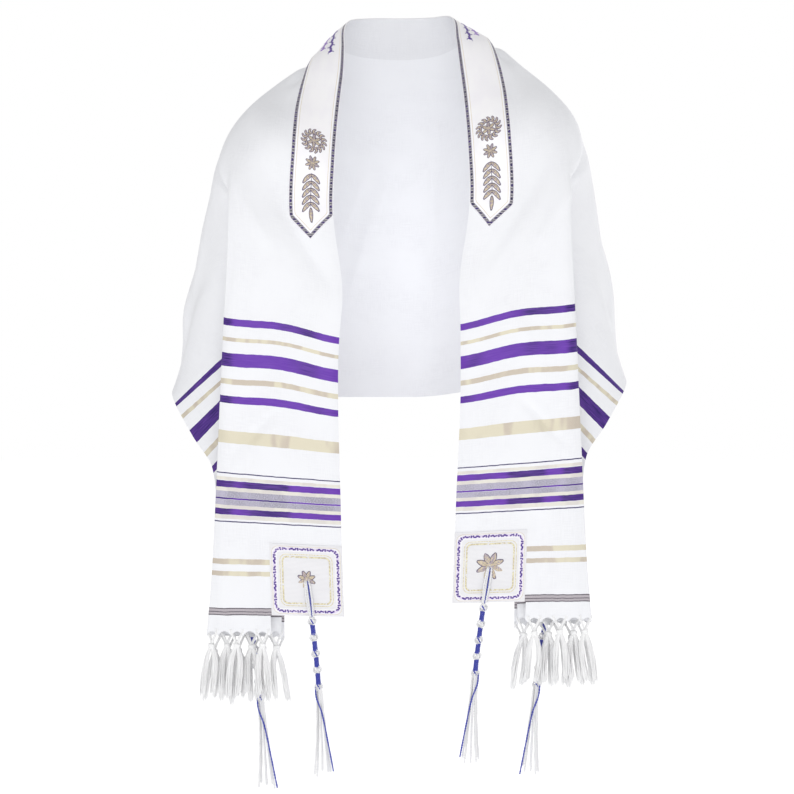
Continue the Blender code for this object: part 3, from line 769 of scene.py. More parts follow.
def band_brocade():
    """Satin neckband: marks are the distances along and from the nearest edge."""
    shader = Shader("band_brocade", Roughness=0.5, Sheen_Weight=0.2, Sheen_Roughness=0.4,
                    Specular_IOR_Level=0.4)
    along, edge, _ = shader.place()
    ground = shader.mix(shader.noise((30, 60, 1)).ramp(0.35, 0.65),
                        (0.925, 0.91, 0.94), (0.955, 0.945, 0.96))
    border = edge.near(BORDER_EDGE, BORDER_HALF)
    middle = edge.near(BORDER_EDGE - 0.0003, 0.0012)
    beside = edge.near(BORDER_EDGE + 0.0010, 0.0006)
    step = shader.math("FRACT", along * (1 / BORDER_STEP))
    quick = shader.math("FRACT", along * (2 / BORDER_STEP))
    grey = shader.math("MAXIMUM", step.near(0.78, 0.14) * middle, quick.near(0.5, 0.26) * beside)
    dark = shader.mix(shader.noise((42, 10, 1), 1.0).ramp(0.44, 0.56),
                      (0.014, 0.010, 0.055), (0.038, 0.016, 0.14))
    strip = shader.mix(shader.noise((900, 900, 1)).ramp(0.4, 0.6),
                       (0.30, 0.28, 0.34), (0.60, 0.57, 0.56))
    strip = shader.mix(grey, strip, (0.13, 0.13, 0.15))
    strip = shader.mix(step.near(0.28, 0.21) * middle, strip, dark)
    rail = shader.math("GREATER_THAN", abs(edge - BORDER_EDGE), BORDER_HALF - 0.0005)
    strip = shader.mix(rail * 0.6, strip, (0.16, 0.12, 0.27))
    colour = shader.mix(border, ground, strip)
    colour = shader.mix(edge.near(0.0079, 0.00035) * 0.75, colour, (0.70, 0.60, 0.42))
    dash = shader.math("LESS_THAN", shader.math("FRACT", along * (1 / STITCH_STEP)), 0.62)
    stitch = edge.near(0.0006, 0.00025) * dash
    colour = shader.mix(stitch * 0.25, colour, (0.45, 0.42, 0.50))
    height = shader.noise((1200, 90, 1)) + border * 0.8 + stitch * 2.0
    return shader.finish(colour, height, 0.00025, 0.6)


RIB_PITCH = 0.0016
RING_INSET = 0.0058          # from a patch's edge to its purple ring


def patch_cloth():
    """Ribbed patch: marks are places from its middle, along and across."""
    shader = Shader("patch_cloth", Roughness=0.6, Sheen_Weight=0.15, Sheen_Roughness=0.4,
                    Specular_IOR_Level=0.35)
    along, across, _ = shader.place()

    def square_line(inset, half_width, corner=0.008):
        """1 on a square with rounded corners, so far in from the patch's edge."""
        past = [abs(value) - (PATCH_SIZE / 2 - inset - corner) for value in (along, across)]
        out = [shader.math("POWER", shader.math("MAXIMUM", value, 0.0), 2.0) for value in past]
        inside = shader.math("MINIMUM", shader.math("MAXIMUM", *past), 0.0)
        return (shader.math("SQRT", out[0] + out[1]) + inside).near(corner, half_width)

    ribs = shader.math("SINE", along * (TAU / RIB_PITCH))
    slub = shader.noise((900, 70, 1))
    pale = shader.mix(slub.ramp(0.35, 0.65), (0.66, 0.57, 0.47), (0.80, 0.72, 0.62))
    gold = shader.mix(shader.noise((500, 500, 1)).ramp(0.42, 0.58),
                      (0.60, 0.52, 0.36), (0.82, 0.77, 0.50))
    frame_line = square_line(0.0157, 0.0010, 0.006)
    dashes = shader.noise((260, 260, 1), 1.0).ramp(0.30, 0.42)
    # painted shade: the ribs are darker in their troughs than on their crests
    colour = shader.mix(ribs.ramp(-1.0, 0.6), (0.765, 0.76, 0.79), (0.845, 0.84, 0.86))
    for share, dye in ((square_line(RING_INSET, 0.0036), (0.885, 0.878, 0.90)),
                       (square_line(RING_INSET, 0.0016) * 0.55, (0.70, 0.56, 0.86)),
                       (square_line(0.0028, 0.0004) * 0.80, pale),
                       (square_line(0.0126, 0.0005) * 0.85, gold),
                       (frame_line * dashes, gold)):
        colour = shader.mix(share, colour, dye)
    return shader.finish(colour, ribs * 0.5 + slub + frame_line * 1.2, 0.00022, 0.7)


def thread(name, light, dark, metallic=0.0, roughness=0.5, scale=(900, 2, 40), other=None):
    """Embroidery or yarn whose fine strands run on along its own length."""
    shader = Shader(name, Roughness=roughness, Metallic=metallic, Sheen_Weight=0.2,
                    Sheen_Roughness=0.5, Specular_IOR_Level=0.35)
    shader.place()
    strands = shader.noise(scale)
    colour = shader.mix(strands.ramp(0.35, 0.65), dark, light)
    if other:                    # some of the stitches are of another thread
        colour = shader.mix(shader.noise((420, 300, 9)).ramp(0.50, 0.60), colour, other)
    return shader.finish(colour, strands, 0.0002, 0.7)


# ---- the cloth
CLOTH_ROWS = 400


def shawl_places(section):
    """Columns of the cloth: close together on each fold's turn."""
    near = section.place(np.linspace(0.0, PATCH_SIZE, 23))
    panel = section.place(np.linspace(PATCH_SIZE, section.across_at(FIRST_TURN), 16)[1:])
    turns = fold_turns(6)
    last = section.place(np.linspace(section.across_at(turns[-1]), CLOTH_WIDTH, 40)[1:])
    return np.concatenate((near, panel, turns, last))


def make_shawl(material):
    ends = (HEADER - end_along(-1), end_along(1) - HEADER)
    lay = Lay(np.linspace(*ends, CLOTH_ROWS), shawl_places)
    half = np.abs(lay.along)[:, None]
    share = np.clip(lay.across / np.interp(half, *PANEL_EDGE), 0.0, 1.0)
    bow = STRIPE_BOW * window(BOW_SPAN, half) * np.sin(np.pi * share) ** 2
    along = lay.along[:, None] + np.sign(lay.along)[:, None] * bow
    shawl = shell("shawl", lay.points, along, lay.across, CLOTH_SHELL, material)
    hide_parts("shawl_cloth")
    return shawl


# ---- neckband and its embroidery
BAND_LIFT = CLOTH_SHELL / 2 + BAND_SHELL / 2 + SHEET_GAP
BAND_TAPER = BAND_TIP - BAND_STRAIGHT
BAND_ROWS = 287
BAND_COLUMNS = 19


def skewed(along, across):
    """Place along of a point of the band, whose ends are cut square to its own length."""
    near_end = smooth(*SKEW_SPAN, np.abs(along))
    return along + np.sign(along) * BAND_SKEW * near_end * (across - BAND_WIDTH / 2)


def make_neckband(lay, material):
    """The band, its two ends drawn in to points."""
    along = np.linspace(-BAND_TIP, BAND_TIP, BAND_ROWS)[:, None]
    taper = 1.0 - np.clip((np.abs(along) - BAND_STRAIGHT) / BAND_TAPER, 0, 0.995)
    lean = TIP_LEAN * np.clip((-along - BAND_STRAIGHT) / BAND_TAPER, 0.0, 1.0)
    across = BAND_WIDTH / 2 * (1.0 + np.linspace(-1.0, 1.0, BAND_COLUMNS) * taper)
    points = lay.at(skewed(along, across + lean), across + lean, BAND_LIFT)
    slope = math.hypot(BAND_WIDTH / 2, BAND_TAPER)
    over = (BAND_TIP - np.abs(along)) * BAND_WIDTH / 2
    off = np.abs(across - BAND_WIDTH / 2) * BAND_TAPER
    edge = np.minimum(np.minimum(across, BAND_WIDTH - across), (over - off) / slope)
    tip_run = (slope / BAND_TAPER - 1) * np.maximum(np.abs(along) - BAND_STRAIGHT, 0)
    run = along + np.sign(along) * tip_run
    band = shell("neckband_cloth", points, run, edge, BAND_SHELL, material)
    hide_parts("neckband")
    return band


# ---- embroidery
GOLD_SLOTS = (0, 1)          # slots of the embroidery: dark edge, gold, purple, lilac
PURPLE_SLOT = 2
LILAC_SLOT = 3


class Motif:
    """Raised stitching on one stretch of cloth, drawn in a flat frame of its own.

    In that frame x runs down towards the cloth's end and y away from the neck edge.
    """

    def __init__(self, bag, lay, side, middle_along, middle_across, base, on_band=False):
        self.bag = bag
        self.lay = lay
        self.side = side
        self.along = middle_along
        self.across = middle_across
        self.base = base
        self.on_band = on_band

    def spot(self, x, y, lift):
        along = self.side * (self.along + x)
        across = self.across + y
        if self.on_band:
            along = skewed(along, across)
        return self.lay.at(along, across, self.base + lift)

    def strip(self, line, half_widths, height, slot, columns=5, mark=0.0):
        """Domed closed strip along a flat line; its thread crosses it at a slant."""
        half_widths = np.broadcast_to(half_widths, len(line))[:, None]
        tangents = unit(np.gradient(line, axis=0))
        over = np.stack([-tangents[:, 1], tangents[:, 0]], axis=1)
        top = np.linspace(-1.0, 1.0, columns)
        shares = np.concatenate((top, (0.5, -0.5)))
        lifts = np.concatenate((np.sqrt(1 - top * top), (-0.12, -0.12)))
        flat = line[:, None] + over[:, None] * shares[:, None] * half_widths[..., None]
        fade = np.minimum(1.0, half_widths / max(half_widths.max(), 1e-9) * 1.5)
        lift = np.where(lifts > 0, lifts * height * fade, lifts * 0.001)
        points = self.spot(flat[..., 0], flat[..., 1], lift)
        run = run_lengths(line)[:, None] + 0.5 * shares * half_widths
        marks = np.stack(np.broadcast_arrays(run, shares * half_widths, mark), axis=2)
        self.bag.add_rings(points, marks, slot, TURNED if self.side > 0 else (1, 2, 3, 0))

    def leaf(self, x, y, turn, length, half_width, slots, bend=0.0, height=0.0006, mark=0.0):
        """Leaf or petal from its foot at (x, y); a darker outline lies under its edge."""
        shares = np.linspace(0.0, 1.0, 9)
        curve = turn + bend * (shares - 0.3)
        steps = length / 8 * np.stack([np.cos(curve), np.sin(curve)], axis=1)
        line = np.array([x, y]) + np.concatenate(([[0.0, 0.0]], np.cumsum(steps[:-1], axis=0)))
        body = half_width * np.sin(np.pi * (0.04 + 0.92 * shares ** 0.85)) ** 0.8
        edge_slot, body_slot = slots
        if edge_slot is not None:
            rim = line + (shares[:, None] - 0.5) * (line[-1] - line[0]) * 0.12
            self.strip(rim, body + 0.0006, height * 0.45, edge_slot, 5, mark)
        self.strip(line, body, height, body_slot, 7, mark)
        if edge_slot is not None and half_width > 0.0013:
            vein = line[1:-2]
            self.strip(vein, np.linspace(0.00032, 0.00012, len(vein)), height * 1.25, edge_slot)

    def stroke(self, line, half_width, slot):
        """Cord of stitches, rounded off at both ends."""
        number = np.arange(len(line))
        ends = np.minimum(1.0, 0.35 + np.minimum(number, number[::-1]) * 0.4)
        self.strip(line, half_width * ends, 0.0004, slot)

    def ring(self, x, y, radius, half_width, height, slot, count):
        turns = TAU * np.arange(count + 1) / count
        line = np.stack([x + radius * np.cos(turns), y + radius * np.sin(turns)], axis=1)
        self.strip(line, half_width, height, slot)


def sprig(motif, x, length, pairs, leaf_length, half_width):
    """Stem down the middle, with pairs of leaves and one at its tip."""
    stem = np.array([x, 0.0]) + np.array([length, 0.0]) * np.linspace(0, 1, 7)[:, None]
    motif.stroke(stem, 0.00045, GOLD_SLOTS[0])
    for number in range(pairs):
        foot = x + length * (number + 0.3) / (pairs + 0.35)
        for hand in (-1, 1):
            motif.leaf(foot, 0.0, hand * 0.85, leaf_length, half_width, GOLD_SLOTS, -hand * 0.5)
    motif.leaf(x + length * 0.96, 0.0, 0.0, leaf_length * 1.1, half_width, GOLD_SLOTS)


def flower(motif, x, petals, radius, half_width, start=0.0, heart=0.3):
    """Open flower on the middle line: petals round a small knot."""
    inner = radius * heart * 0.6
    for number in range(petals):
        turn = start + TAU * number / petals
        foot = (x + inner * math.cos(turn), inner * math.sin(turn))
        motif.leaf(*foot, turn, radius * (1 - heart * 0.6), half_width, GOLD_SLOTS,
                   mark=number * 0.1)
    motif.ring(x, 0.0, radius * heart * 0.45, radius * heart * 0.4, 0.0008, GOLD_SLOTS[1], 12)


SCROLL_RISE = 0.0026
SCROLL_STEP = 0.0080
SCROLL_LEAVES = (
    # lean, length in steps, half width, bend
    (-0.9, 0.90, 0.0015, 0.6),
    (-2.1, 0.65, 0.0013, 0.5),
    (1.3, 0.40, 0.0010, 0.5),
)


def leaf_scroll(motif, x, y, length, slot):
    """Waving stem with small leaves to each side, used as a line of stitching."""
    shares = np.linspace(0.0, 1.0, int(length / 0.0008))
    wave = SCROLL_RISE * np.sin(TAU * shares * length / (2 * SCROLL_STEP))
    motif.stroke(np.stack([x + shares * length, y + wave], axis=1), 0.00040, slot)
    for number in range(int(length / SCROLL_STEP)):
        hand = -1 if number % 2 else 1
        spot = (x + (number + 0.5) * SCROLL_STEP, y + hand * SCROLL_RISE)
        for lean, steps, half_width, bend in SCROLL_LEAVES:
            motif.leaf(*spot, hand * lean, SCROLL_STEP * steps, half_width, (None, slot),
                       hand * bend, 0.0005)


WREATH = 0.3070              # along: middles of the wreath and of the flower below it
FLOWER = 0.3368
WREATH_RADIUS = 0.0122
WREATH_LEAVES = 15


def band_embroidery(lay, materials):
    """Gold sprig, flower and wreath above each tip, and purple scrolls on the shoulders."""
    bag = Bag()
    for side in (-1, 1):
        base = BAND_LIFT + BAND_SHELL / 2
        motif = Motif(bag, lay, side, 0.0, BAND_WIDTH / 2, base, True)
        leaf_scroll(motif, 0.084, 0.0075, 0.066, LILAC_SLOT)
        leaf_scroll(motif, 0.092, -0.0065, 0.070, PURPLE_SLOT)
        motif.ring(WREATH, 0.0, WREATH_RADIUS, 0.0004, 0.0003, GOLD_SLOTS[0], 44)
        for number in range(WREATH_LEAVES):
            turn = TAU * number / WREATH_LEAVES
            spot = (WREATH + WREATH_RADIUS * math.cos(turn), WREATH_RADIUS * math.sin(turn))
            for lean in (0.85, 2.25):
                motif.leaf(*spot, turn + lean, 0.0060, 0.00125, GOLD_SLOTS, 0.5)
        flower(motif, WREATH, 6, 0.0088, 0.0019, heart=0.35)
        flower(motif, FLOWER, 8, 0.0090, 0.0015, math.pi / 8)
        sprig(motif, 0.3490, 0.0460, 5, 0.0145, 0.0022)
    work = bag.build("neckband_embroidery", materials, 60.0)
    return work


# ---- corner patches
PATCH_LIFT = CLOTH_SHELL / 2 + PATCH_SHELL / 2 + SHEET_GAP
PATCH_CELLS = 36
PILLOW = 0.0005              # a patch swells this much inside its edge
PILLOW_EDGE = 0.004
SEAM = 0.0004                # its seam sinks in this much
SEAM_INSET = 0.0022
SEAM_WIDTH = 0.0009
RIPPLE = 0.00025
RING_CORNER = 0.0085
RING_COUNT = 96
RING_LEAVES = (
    # a mark of the purple ring: its lean from the ring, length, half width
    (0.75, 0.0046, 0.00116), (-0.95, 0.0039, 0.00109), (1.45, 0.0035, 0.00124),
    (0.35, 0.0030, 0.00093), (-0.65, 0.0046, 0.00116), (0.0, 0.0022, 0.00124),
    (1.25, 0.0043, 0.00116), (-1.35, 0.0035, 0.00109), (0.55, 0.0041, 0.00109),
    (0.0, 0.0000, 0.00000), (-0.45, 0.0041, 0.00124),
)
ROSETTE = {1: 0.0172, -1: 0.0112}        # its radius on the +X and the -X side


def label(side, corner):
    return f"{'left' if side > 0 else 'right'}_{corner}"


def patch_lay(side, corner):
    end = end_along(side) - HEADER
    alongs = np.sort(side * np.linspace(end - PATCH_SIZE - 0.004, end + 0.003, 31))
    reach = np.linspace(0.0, PATCH_SIZE + 0.003, 26)
    return Lay(alongs, even(reach if corner == "front" else CLOTH_WIDTH - reach[::-1]))


def patch_middle(side, corner):
    """Places along and across of a patch's middle, on its own half."""
    half = PATCH_SIZE / 2
    return end_along(side) - HEADER - half, half if corner == "front" else CLOTH_WIDTH - half


def make_patch(lay, side, corner, material):
    middle, middle_across = patch_middle(side, corner)
    reach = np.linspace(-PATCH_SIZE / 2, PATCH_SIZE / 2, PATCH_CELLS + 1)
    x, y = np.meshgrid(reach[::side], reach, indexing="ij")
    edge = PATCH_SIZE / 2 - np.maximum(np.abs(x), np.abs(y))
    seam = SEAM * np.exp(-((edge - SEAM_INSET) / SEAM_WIDTH) ** 2)
    pillow = PILLOW * smooth(0.0, PILLOW_EDGE, edge) - seam
    ripple = RIPPLE * np.sin(x * 190 + y * 60) * smooth(0.0, 0.01, edge)
    points = lay.at(side * (middle + x), middle_across + y, PATCH_LIFT + pillow + ripple)
    name = label(side, corner)
    patch = shell(f"patch_cloth_{name}", points, x, y, PATCH_SHELL, material)
    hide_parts(f"patch_{name}")
    return patch


def patch_embroidery(lay, side, corner, materials):
    """Ring of small purple leaves, and a gold rosette round the eyelet."""
    bag = Bag()
    base = PATCH_LIFT + PATCH_SHELL / 2 + 0.0005
    motif = Motif(bag, lay, side, *patch_middle(side, corner), base)
    out = PATCH_SIZE / 2 - RING_INSET - RING_CORNER
    quarter = np.linspace(0.0, np.pi / 2, 9)
    outline = np.concatenate([
        around(np.array([sx, sy]) * out, *np.eye(2) * RING_CORNER, number * np.pi / 2 + quarter)
        for number, (sx, sy) in enumerate(((1, 1), (-1, 1), (-1, -1), (1, -1)))])
    outline = np.concatenate([outline, outline[:1]])
    runs = run_lengths(outline)

    def spot(place):
        return np.array([np.interp(place % runs[-1], runs, outline[:, i]) for i in (0, 1)])

    for number in range(RING_COUNT):
        place = runs[-1] * number / RING_COUNT
        x, y = spot(place)
        ahead = spot(place + 0.001) - (x, y)
        turn = math.atan2(ahead[1], ahead[0])
        lean, length, half_width = RING_LEAVES[number % len(RING_LEAVES)]
        if length:
            for back, bend in ((0.0, -0.5), (math.pi, 0.5)):
                motif.leaf(x, y, turn + lean + back, length / 2, half_width,
                           (None, PURPLE_SLOT), bend, 0.0005)
    flower(motif, -0.0010, 8, ROSETTE[side], ROSETTE[side] * 0.2, math.pi / 8, 0.36)
    work = bag.build(f"patch_embroidery_{label(side, corner)}", materials, 60.0)
    return work


# ---- fringe
HEADER_ROWS = 10
PULL = 0.0080                # the fringe draws the header's edge down this much at each leg
PULL_REACH = 0.0036


def header_places(section):
    panel = section.place(np.linspace(HEADER_FIRST, section.across_at(FIRST_TURN), 30))
    turns = fold_turns(14)
    last = np.linspace(turns[-1], float(section.place(HEADER_LAST)), 5)[1:]
    return np.concatenate((panel, turns, last))


def knot_across(number):
    return blend(FRINGE_FIRST, FRINGE_LAST, number / (FRINGE_KNOTS - 1))


def make_header(side, material):
    """Strip of the same cloth below its last stripe, drawn down in points by the fringe."""
    end = end_along(side)
    lay = Lay(np.sort(side * np.linspace(end - HEADER - 0.001, end + 0.009, 28)), header_places)
    across = lay.across[0]
    pulls = np.array([knot_across(number) + hand * LEG_SPREAD
                      for number in range(FRINGE_KNOTS) for hand in (-1, 1)])
    gap = np.min(np.abs(across[:, None] - pulls), axis=1)
    drop = PULL * np.exp(-gap / PULL_REACH) - 0.0002 - 0.0030 * smooth(0.17, 0.22, across)
    down = np.linspace(0.0, 1.0, HEADER_ROWS)[::side, None]
    along = side * (end - HEADER + 0.0001 + down * (HEADER - 0.0001 + drop))
    before, share = lay.rows(along)
    column = np.arange(len(across))
    points = lay.points[before, column] * (1 - share) + lay.points[before + 1, column] * share
    name = "left" if side > 0 else "right"
    header = shell(f"fringe_header_{name}", points, along, across, CLOTH_SHELL, material)
    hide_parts(f"fringe_{name}")
    return header


def cloth_spot(along, across):
    """Point of the cloth, its outward normal and its direction across."""
    steps = np.array([-0.004, 0.0, 0.004])
    lay = Lay(along + steps, even(across + steps))
    return lay.points[1, 1], lay.normals[1, 1], unit(lay.points[1, 2] - lay.points[1, 0])


LEG_YARNS = 7
LEG_RADIUS = 0.00055         # of each of those yarns
WRAPS = 3                    # turns of yarn round each knot
WRAP_RADIUS = 0.00130
WRAP_PITCH = 0.0015
WRAP_ACROSS = 0.0032
WRAP_DEEP = 0.0026
TASSEL_YARNS = 20
TASSEL_SHAPE = (             # drop share, spread share, half width, half depth
    (0.00, 0.15, 0.0015, 0.0015),
    (0.06, 0.35, 0.0020, 0.0018),
    (0.25, 0.85, 0.0031, 0.0024),
    (0.60, 1.05, 0.0036, 0.0026),
    (0.88, 0.98, 0.0037, 0.0024),
    (1.00, 0.95, 0.0034, 0.0022),
)
YARN_RADIUS = 0.00062
GOLDEN_ANGLE = 2.39996       # spreads a tassel's yarns evenly over its round
FRINGE_FAN = 0.17            # tassels lean out from the middle of the fringe, which is here
FRINGE_MIDDLE = 0.192


def make_fringe(side, material, chance, loose):
    """Knotted pairs of soft tassels, each a bundle of fine yarns."""
    along = side * end_along(side)
    share = np.linspace(0.0, 1.0, 11)[:, None]
    places, *shape = np.array(TASSEL_SHAPE).T
    spread, wide, deep = (np.interp(share, places, values) for values in shape)
    radii = YARN_RADIUS * np.where(share[:, 0] > 0.97, 0.45, 1.0)
    bag = Bag()
    for number in range(FRINGE_KNOTS):
        across = knot_across(number)
        middle, normal, over = cloth_spot(along, across)
        knot = middle - UP * (KNOT_DROP + chance.uniform(-KNOT_PLAY, KNOT_PLAY))
        for hand in (-1, 1):
            root = cloth_spot(along, across + hand * LEG_SPREAD)[0]
            for yarn in range(LEG_YARNS):
                turn = TAU * yarn / LEG_YARNS
                ring = over * math.cos(turn) * 0.0021 + normal * math.sin(turn) * 0.0007
                tight = (over * math.cos(turn + 0.6) + normal * math.sin(turn + 0.6)) * 0.001
                path = [root + ring + UP * 0.0018,
                        root + ring * 0.7 - UP * 0.0015,
                        blend(root, knot, 0.5) + tight * 1.2 - over * hand * 0.0006,
                        knot + tight + UP * 0.001]
                add_tube(bag, smooth_path(path, 8), LEG_RADIUS, 5, yarn * 0.07 + number)
        for layer in range(WRAPS):
            tilt = 0.5 * (layer - 1) + loose.uniform(-0.15, 0.15)
            path = around(knot + UP * (layer - 1) * WRAP_PITCH,
                          over * WRAP_ACROSS + UP * 0.0014 * tilt, normal * WRAP_DEEP,
                          np.linspace(0.0, TAU, 15))
            add_tube(bag, path, WRAP_RADIUS, 7, layer * 0.2 + number)
        for hand in (-1, 1):
            length = TASSEL_LENGTH + chance.uniform(-LENGTH_PLAY, LENGTH_PLAY)
            out = hand * TASSEL_SPREAD + chance.uniform(-SPREAD_PLAY, SPREAD_PLAY)
            lean = normal * loose.uniform(-0.0015, 0.0015)
            fan = loose.uniform(-0.0030, 0.0030)
            aside = X_WAY * side * FRINGE_FAN * (abs(knot[0]) - FRINGE_MIDDLE)
            for yarn in range(TASSEL_YARNS):
                reach = math.sqrt((yarn + 0.5) / TASSEL_YARNS)
                end = length * (1.0 - 0.05 * reach + loose.uniform(-0.060, 0.03))
                twist = GOLDEN_ANGLE * yarn + 0.9 * share
                stray = 0.0006 * np.sin(5.0 * share + yarn * 1.7) * share
                path = (knot - UP * end * share + over * (out * spread + stray + fan * share ** 2)
                        + lean * share + aside * share ** 1.4
                        + over * wide * reach * np.cos(twist)
                        + normal * deep * reach * np.sin(twist))
                add_tube(bag, path, radii, 4, yarn * 0.05 + number)
    name = "left" if side > 0 else "right"
    fringe = bag.build(f"fringe_yarn_{name}", [material], 80.0)
    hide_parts(f"fringe_{name}")
    return fringe


# ---- tzitzit
WHITE_SLOT, BLUE_SLOT = 0, 1
LOOPS = 4                    # at the eyelet, this far apart
LOOP_STEP = 0.0021
WINDING_PITCH = 0.00150
WINDING_RADIUS = 0.00275
CORE_RADIUS = 0.0019
KNOT_HALF = 0.0046           # a double knot with its loops, half its height
KNOT_LOOPS = (
    # half width, half height, lean, how far back
    (0.0049, 0.0046, 0.35, -0.0008),
    (0.0038, 0.0040, -0.5, 0.0010),
)
BLUE_LOOP = 2
BLUE_STRING = 5              # it crosses over the others to the side
BLUE_WAY = (                 # share of its drop, how far out, how far forward
    (0.0, 0.12, 0.30, 0.65, 1.0),
    (0.0042, 0.0036, -0.0020, -0.0080, -0.0135),
    (0.0010, 0.0048, 0.0040, 0.0050, 0.0030),
)
EYELET_RINGS = ((0.0030, 0.0007), (0.0022, 0.0006))      # radius and thickness


def make_tzitzit(side, corner, swing, bow, materials, chance):
    """Cord of one blue and three white threads: loops at the eyelet, knots, strings."""
    along = side * (end_along(side) - HEADER - TZITZIT_HOLE)
    across = TZITZIT_HOLE if corner == "front" else CLOTH_WIDTH - TZITZIT_HOLE
    spot, normal, over = cloth_spot(along, across)
    hole = spot + normal * (PATCH_LIFT + PATCH_SHELL / 2 + 0.0008 + CORD_RADIUS)

    def hang(drop):
        """Middle of the cord at some distances below the eyelet."""
        drop = np.asarray(drop)[..., None]
        share = drop / TZITZIT_LENGTH
        out = side * (swing * share + bow * np.sin(np.pi * share))
        forward = smooth(0.0, CORD_CLEAR, drop) * (CORD_KNOT_RADIUS - CORD_RADIUS)
        return hole + X_WAY * out - Y_WAY * forward - UP * drop

    bag = Bag()
    for number in range(LOOPS):
        slot, radius = (BLUE_SLOT, 0.0010) if number == BLUE_LOOP else (WHITE_SLOT, 0.0015)
        out = X_WAY * (number - (LOOPS - 1) / 2) * LOOP_STEP
        path = [spot + normal * 0.0012 + out * 0.5,
                hang(0.0015) + out * 0.8,
                hang(0.012) + out,
                hang(0.026) + out * 1.05,
                hang(TZITZIT_KNOTS[0] - KNOT_HALF) + out * 0.55 + Y_WAY * 0.0004 * (number % 2)]
        add_plied(bag, smooth_path(path, 26), radius, number, slot)

    for number, knot in enumerate(TZITZIT_KNOTS):
        middle = hang(knot)
        for loop, (width, height, lean, deep) in enumerate(KNOT_LOOPS):
            turns = np.linspace(0.25, TAU + 0.25, 25)
            path = around(middle, X_WAY * width, X_WAY * lean * 0.002 + UP * height, turns)
            path += Y_WAY * (deep + 0.0012 * np.sin(2 * turns + number))[:, None]
            add_plied(bag, path, 0.00120, number + loop * 0.2, WHITE_SLOT, 0.005)
        share = np.linspace(-1, 1, 9)[:, None]
        cross = (middle + X_WAY * 0.0020 * share - UP * 0.0034 * share
                 + Y_WAY * (0.0016 * share * share - 0.0022))
        add_plied(bag, cross, 0.0010, number, WHITE_SLOT if number % 2 else BLUE_SLOT, 0.005)
        core = hang(knot + np.linspace(-KNOT_HALF, KNOT_HALF, 5))
        add_tube(bag, core, CORE_RADIUS, 8, number, WHITE_SLOT)

    for before, after in zip(TZITZIT_KNOTS, TZITZIT_KNOTS[1:]):
        top, low = before + KNOT_HALF * 0.80, after - KNOT_HALF * 0.80
        count = int((low - top) / WINDING_PITCH)
        share = np.linspace(0.0, 1.0, count * 12 + 1)
        waist = WINDING_RADIUS * (1.0 - 0.10 * np.sin(np.pi * share))[:, None]
        path = around(hang(blend(top, low, share)), X_WAY * waist, Y_WAY * waist * 0.9,
                      TAU * count * share)
        add_tube(bag, path, WINDING_PITCH * 0.54, 6, before * 10, BLUE_SLOT)
        core = hang(blend(top, low, np.linspace(-0.15, 1.15, 6)))
        add_tube(bag, core, CORE_RADIUS, 8, after * 10, WHITE_SLOT)

    shares, sway, front = np.array(BLUE_WAY)[..., None]
    for number in range(STRINGS):
        turn = TAU * number / STRINGS
        end = TZITZIT_LENGTH + chance.uniform(-STRING_PLAY, STRING_PLAY)
        path = hang(blend(TZITZIT_KNOTS[-1], end, shares[:, 0]))
        if number == BLUE_STRING:
            slot, radius = BLUE_SLOT, 0.0012
            path += X_WAY * side * sway - Y_WAY * front
        else:
            slot, radius = WHITE_SLOT, 0.0018
            ring = X_WAY * math.cos(turn) + Y_WAY * 0.55 * math.sin(turn)
            path += ring * blend(0.0032, 0.0100, shares ** 1.7)
        add_plied(bag, smooth_path(path, 36), radius, number, slot, 0.0055, 4)

    for layer, (radius, thick) in enumerate(EYELET_RINGS):
        path = around(spot + normal * (0.0019 + 0.0002 * layer), over * radius,
                      np.cross(normal, over) * radius, np.linspace(0.0, TAU, 21))
        add_tube(bag, path, thick, 6, layer, WHITE_SLOT)
    name = label(side, corner)
    cord = bag.build(f"tzitzit_cord_{name}", materials, 80.0)
    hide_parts(f"tzitzit_{name}")
    return cord


# ---- what is run
def main():
    woven = woven_cloth()
    ribbed = patch_cloth()
    stitches = [
        thread("embroidery_edge", (0.17, 0.14, 0.22), (0.07, 0.055, 0.11)),
        thread("embroidery_gold", (0.73, 0.63, 0.45), (0.46, 0.38, 0.28), 0.15, 0.4,
               other=(0.40, 0.34, 0.40)),
        thread("embroidery_purple", (0.105, 0.034, 0.36), (0.045, 0.012, 0.20), 0.0, 0.45),
        thread("embroidery_lilac", (0.36, 0.20, 0.62), (0.20, 0.085, 0.44), 0.0, 0.45),
    ]
    yarn = thread("fringe_yarn", (0.95, 0.95, 0.95), (0.87, 0.87, 0.88), 0.0, 0.85, (300, 3, 60))
    cords = [
        thread("tzitzit_white", (0.93, 0.93, 0.93), (0.77, 0.77, 0.79), 0.0, 0.8, (700, 3, 60)),
        thread("tzitzit_blue", (0.070, 0.088, 0.52), (0.030, 0.038, 0.30), 0.0, 0.6, (700, 3, 60)),
    ]

    shawl = make_shawl(woven)
    band_lay = Lay(np.arange(-0.447, 0.4471, 0.003), even(np.linspace(0.0, 0.062, 24)))
    band = make_neckband(band_lay, band_brocade())
    band_work = band_embroidery(band_lay, stitches)
    for side in (-1, 1):
        for corner in ("front", "rear"):
            lay = patch_lay(side, corner)
            patch = make_patch(lay, side, corner, ribbed)
            work = patch_embroidery(lay, side, corner, stitches)
    chance = random.Random(72)
    loose = random.Random(19)
    for side in (-1, 1):
        header = make_header(side, woven)
        fringe = make_fringe(side, yarn, chance, loose)
    for side, corner, swing, bow in TZITZIT:
        make_tzitzit(side, corner, swing, bow, cords, chance)


# ---- the studio
EYE = (-0.003, -2.32, -0.47)
FOCAL_LENGTH = 1760          # in pixels of the photo, which is 794 wide
PHOTO_WIDTH = 794
SENSOR_WIDTH = 36.0
SOFT_LIGHT = 0.61            # strength of the light from all sides
FLOOR = -0.985
FLOOR_REACH = 12.0
MIDDLE = (0.0, 0.0, -0.42)


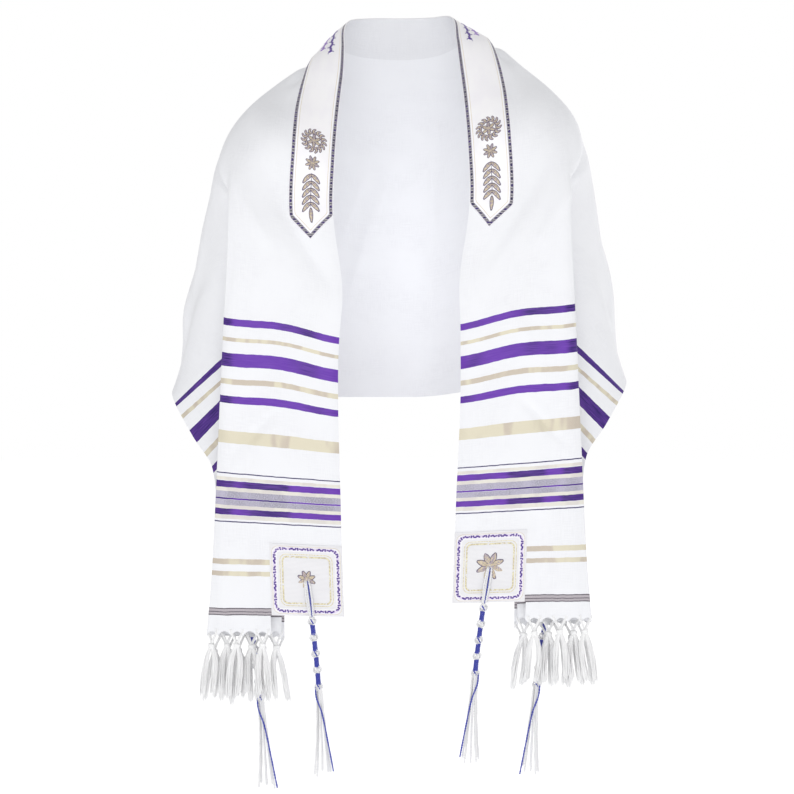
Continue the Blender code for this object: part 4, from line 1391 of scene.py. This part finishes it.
def place_object(name, data, place):
    thing = bpy.data.objects.new(name, data)
    thing.location = place
    bpy.context.scene.collection.objects.link(thing)
    return thing


def lamp(name, place, aim, size, power):
    light = bpy.data.lights.new(name, "AREA")
    light.energy = power
    light.size = size
    thing = place_object(name, light, place)
    thing.rotation_euler = (Vector(aim) - Vector(place)).to_track_quat("-Z", "Y").to_euler()
    return thing


def background(tree, strength):
    node = tree.nodes.new("ShaderNodeBackground")
    node.inputs["Color"].default_value = (1.0, 1.0, 1.0, 1.0)
    node.inputs["Strength"].default_value = strength
    return node.outputs[0]


def studio():
    """White room: the camera sees a white background that lights the shawl less brightly."""
    scene = bpy.context.scene
    scene.view_settings.view_transform = "Standard"
    camera = bpy.data.cameras.new("camera")
    camera.sensor_width = SENSOR_WIDTH
    camera.lens = SENSOR_WIDTH * FOCAL_LENGTH / PHOTO_WIDTH
    scene.camera = place_object("camera", camera, EYE)
    scene.camera.rotation_euler = (math.pi / 2, 0.0, 0.0)

    scene.world = bpy.data.worlds.new("studio")
    scene.world.use_nodes = True
    tree = scene.world.node_tree
    seen = tree.nodes.new("ShaderNodeLightPath").outputs["Is Camera Ray"]
    either = tree.nodes.new("ShaderNodeMixShader")
    for socket, source in enumerate((seen, background(tree, SOFT_LIGHT), background(tree, 1.0))):
        tree.links.new(source, either.inputs[socket])
    tree.links.new(either.outputs[0], tree.nodes["World Output"].inputs[0])

    mesh = bpy.data.meshes.new("floor")
    corners = ((-1, -1), (1, -1), (1, 1), (-1, 1))
    mesh.from_pydata([(x * FLOOR_REACH, y * FLOOR_REACH, FLOOR) for x, y in corners],
                     [], [(0, 1, 2, 3)])
    paint = Shader("floor", Roughness=0.9, Base_Color=(0.86, 0.86, 0.86),
                   Emission_Color=(1.0, 1.0, 1.0), Emission_Strength=0.50)
    mesh.materials.append(paint.material)
    floor = place_object("floor", mesh, (0.0, 0.0, 0.0))
    lamp("key", (-0.25, -3.6, 0.25), MIDDLE, 2.4, 33.0)
    lamp("back", (2.1, 2.5, 0.7), MIDDLE, 2.0, 28.0)
    inside = lamp("inside", (0.0, -0.03, -0.27), (0.0, 1.0, -0.27), 0.26, 0.135)
    inside.visible_camera = False


main()
studio()
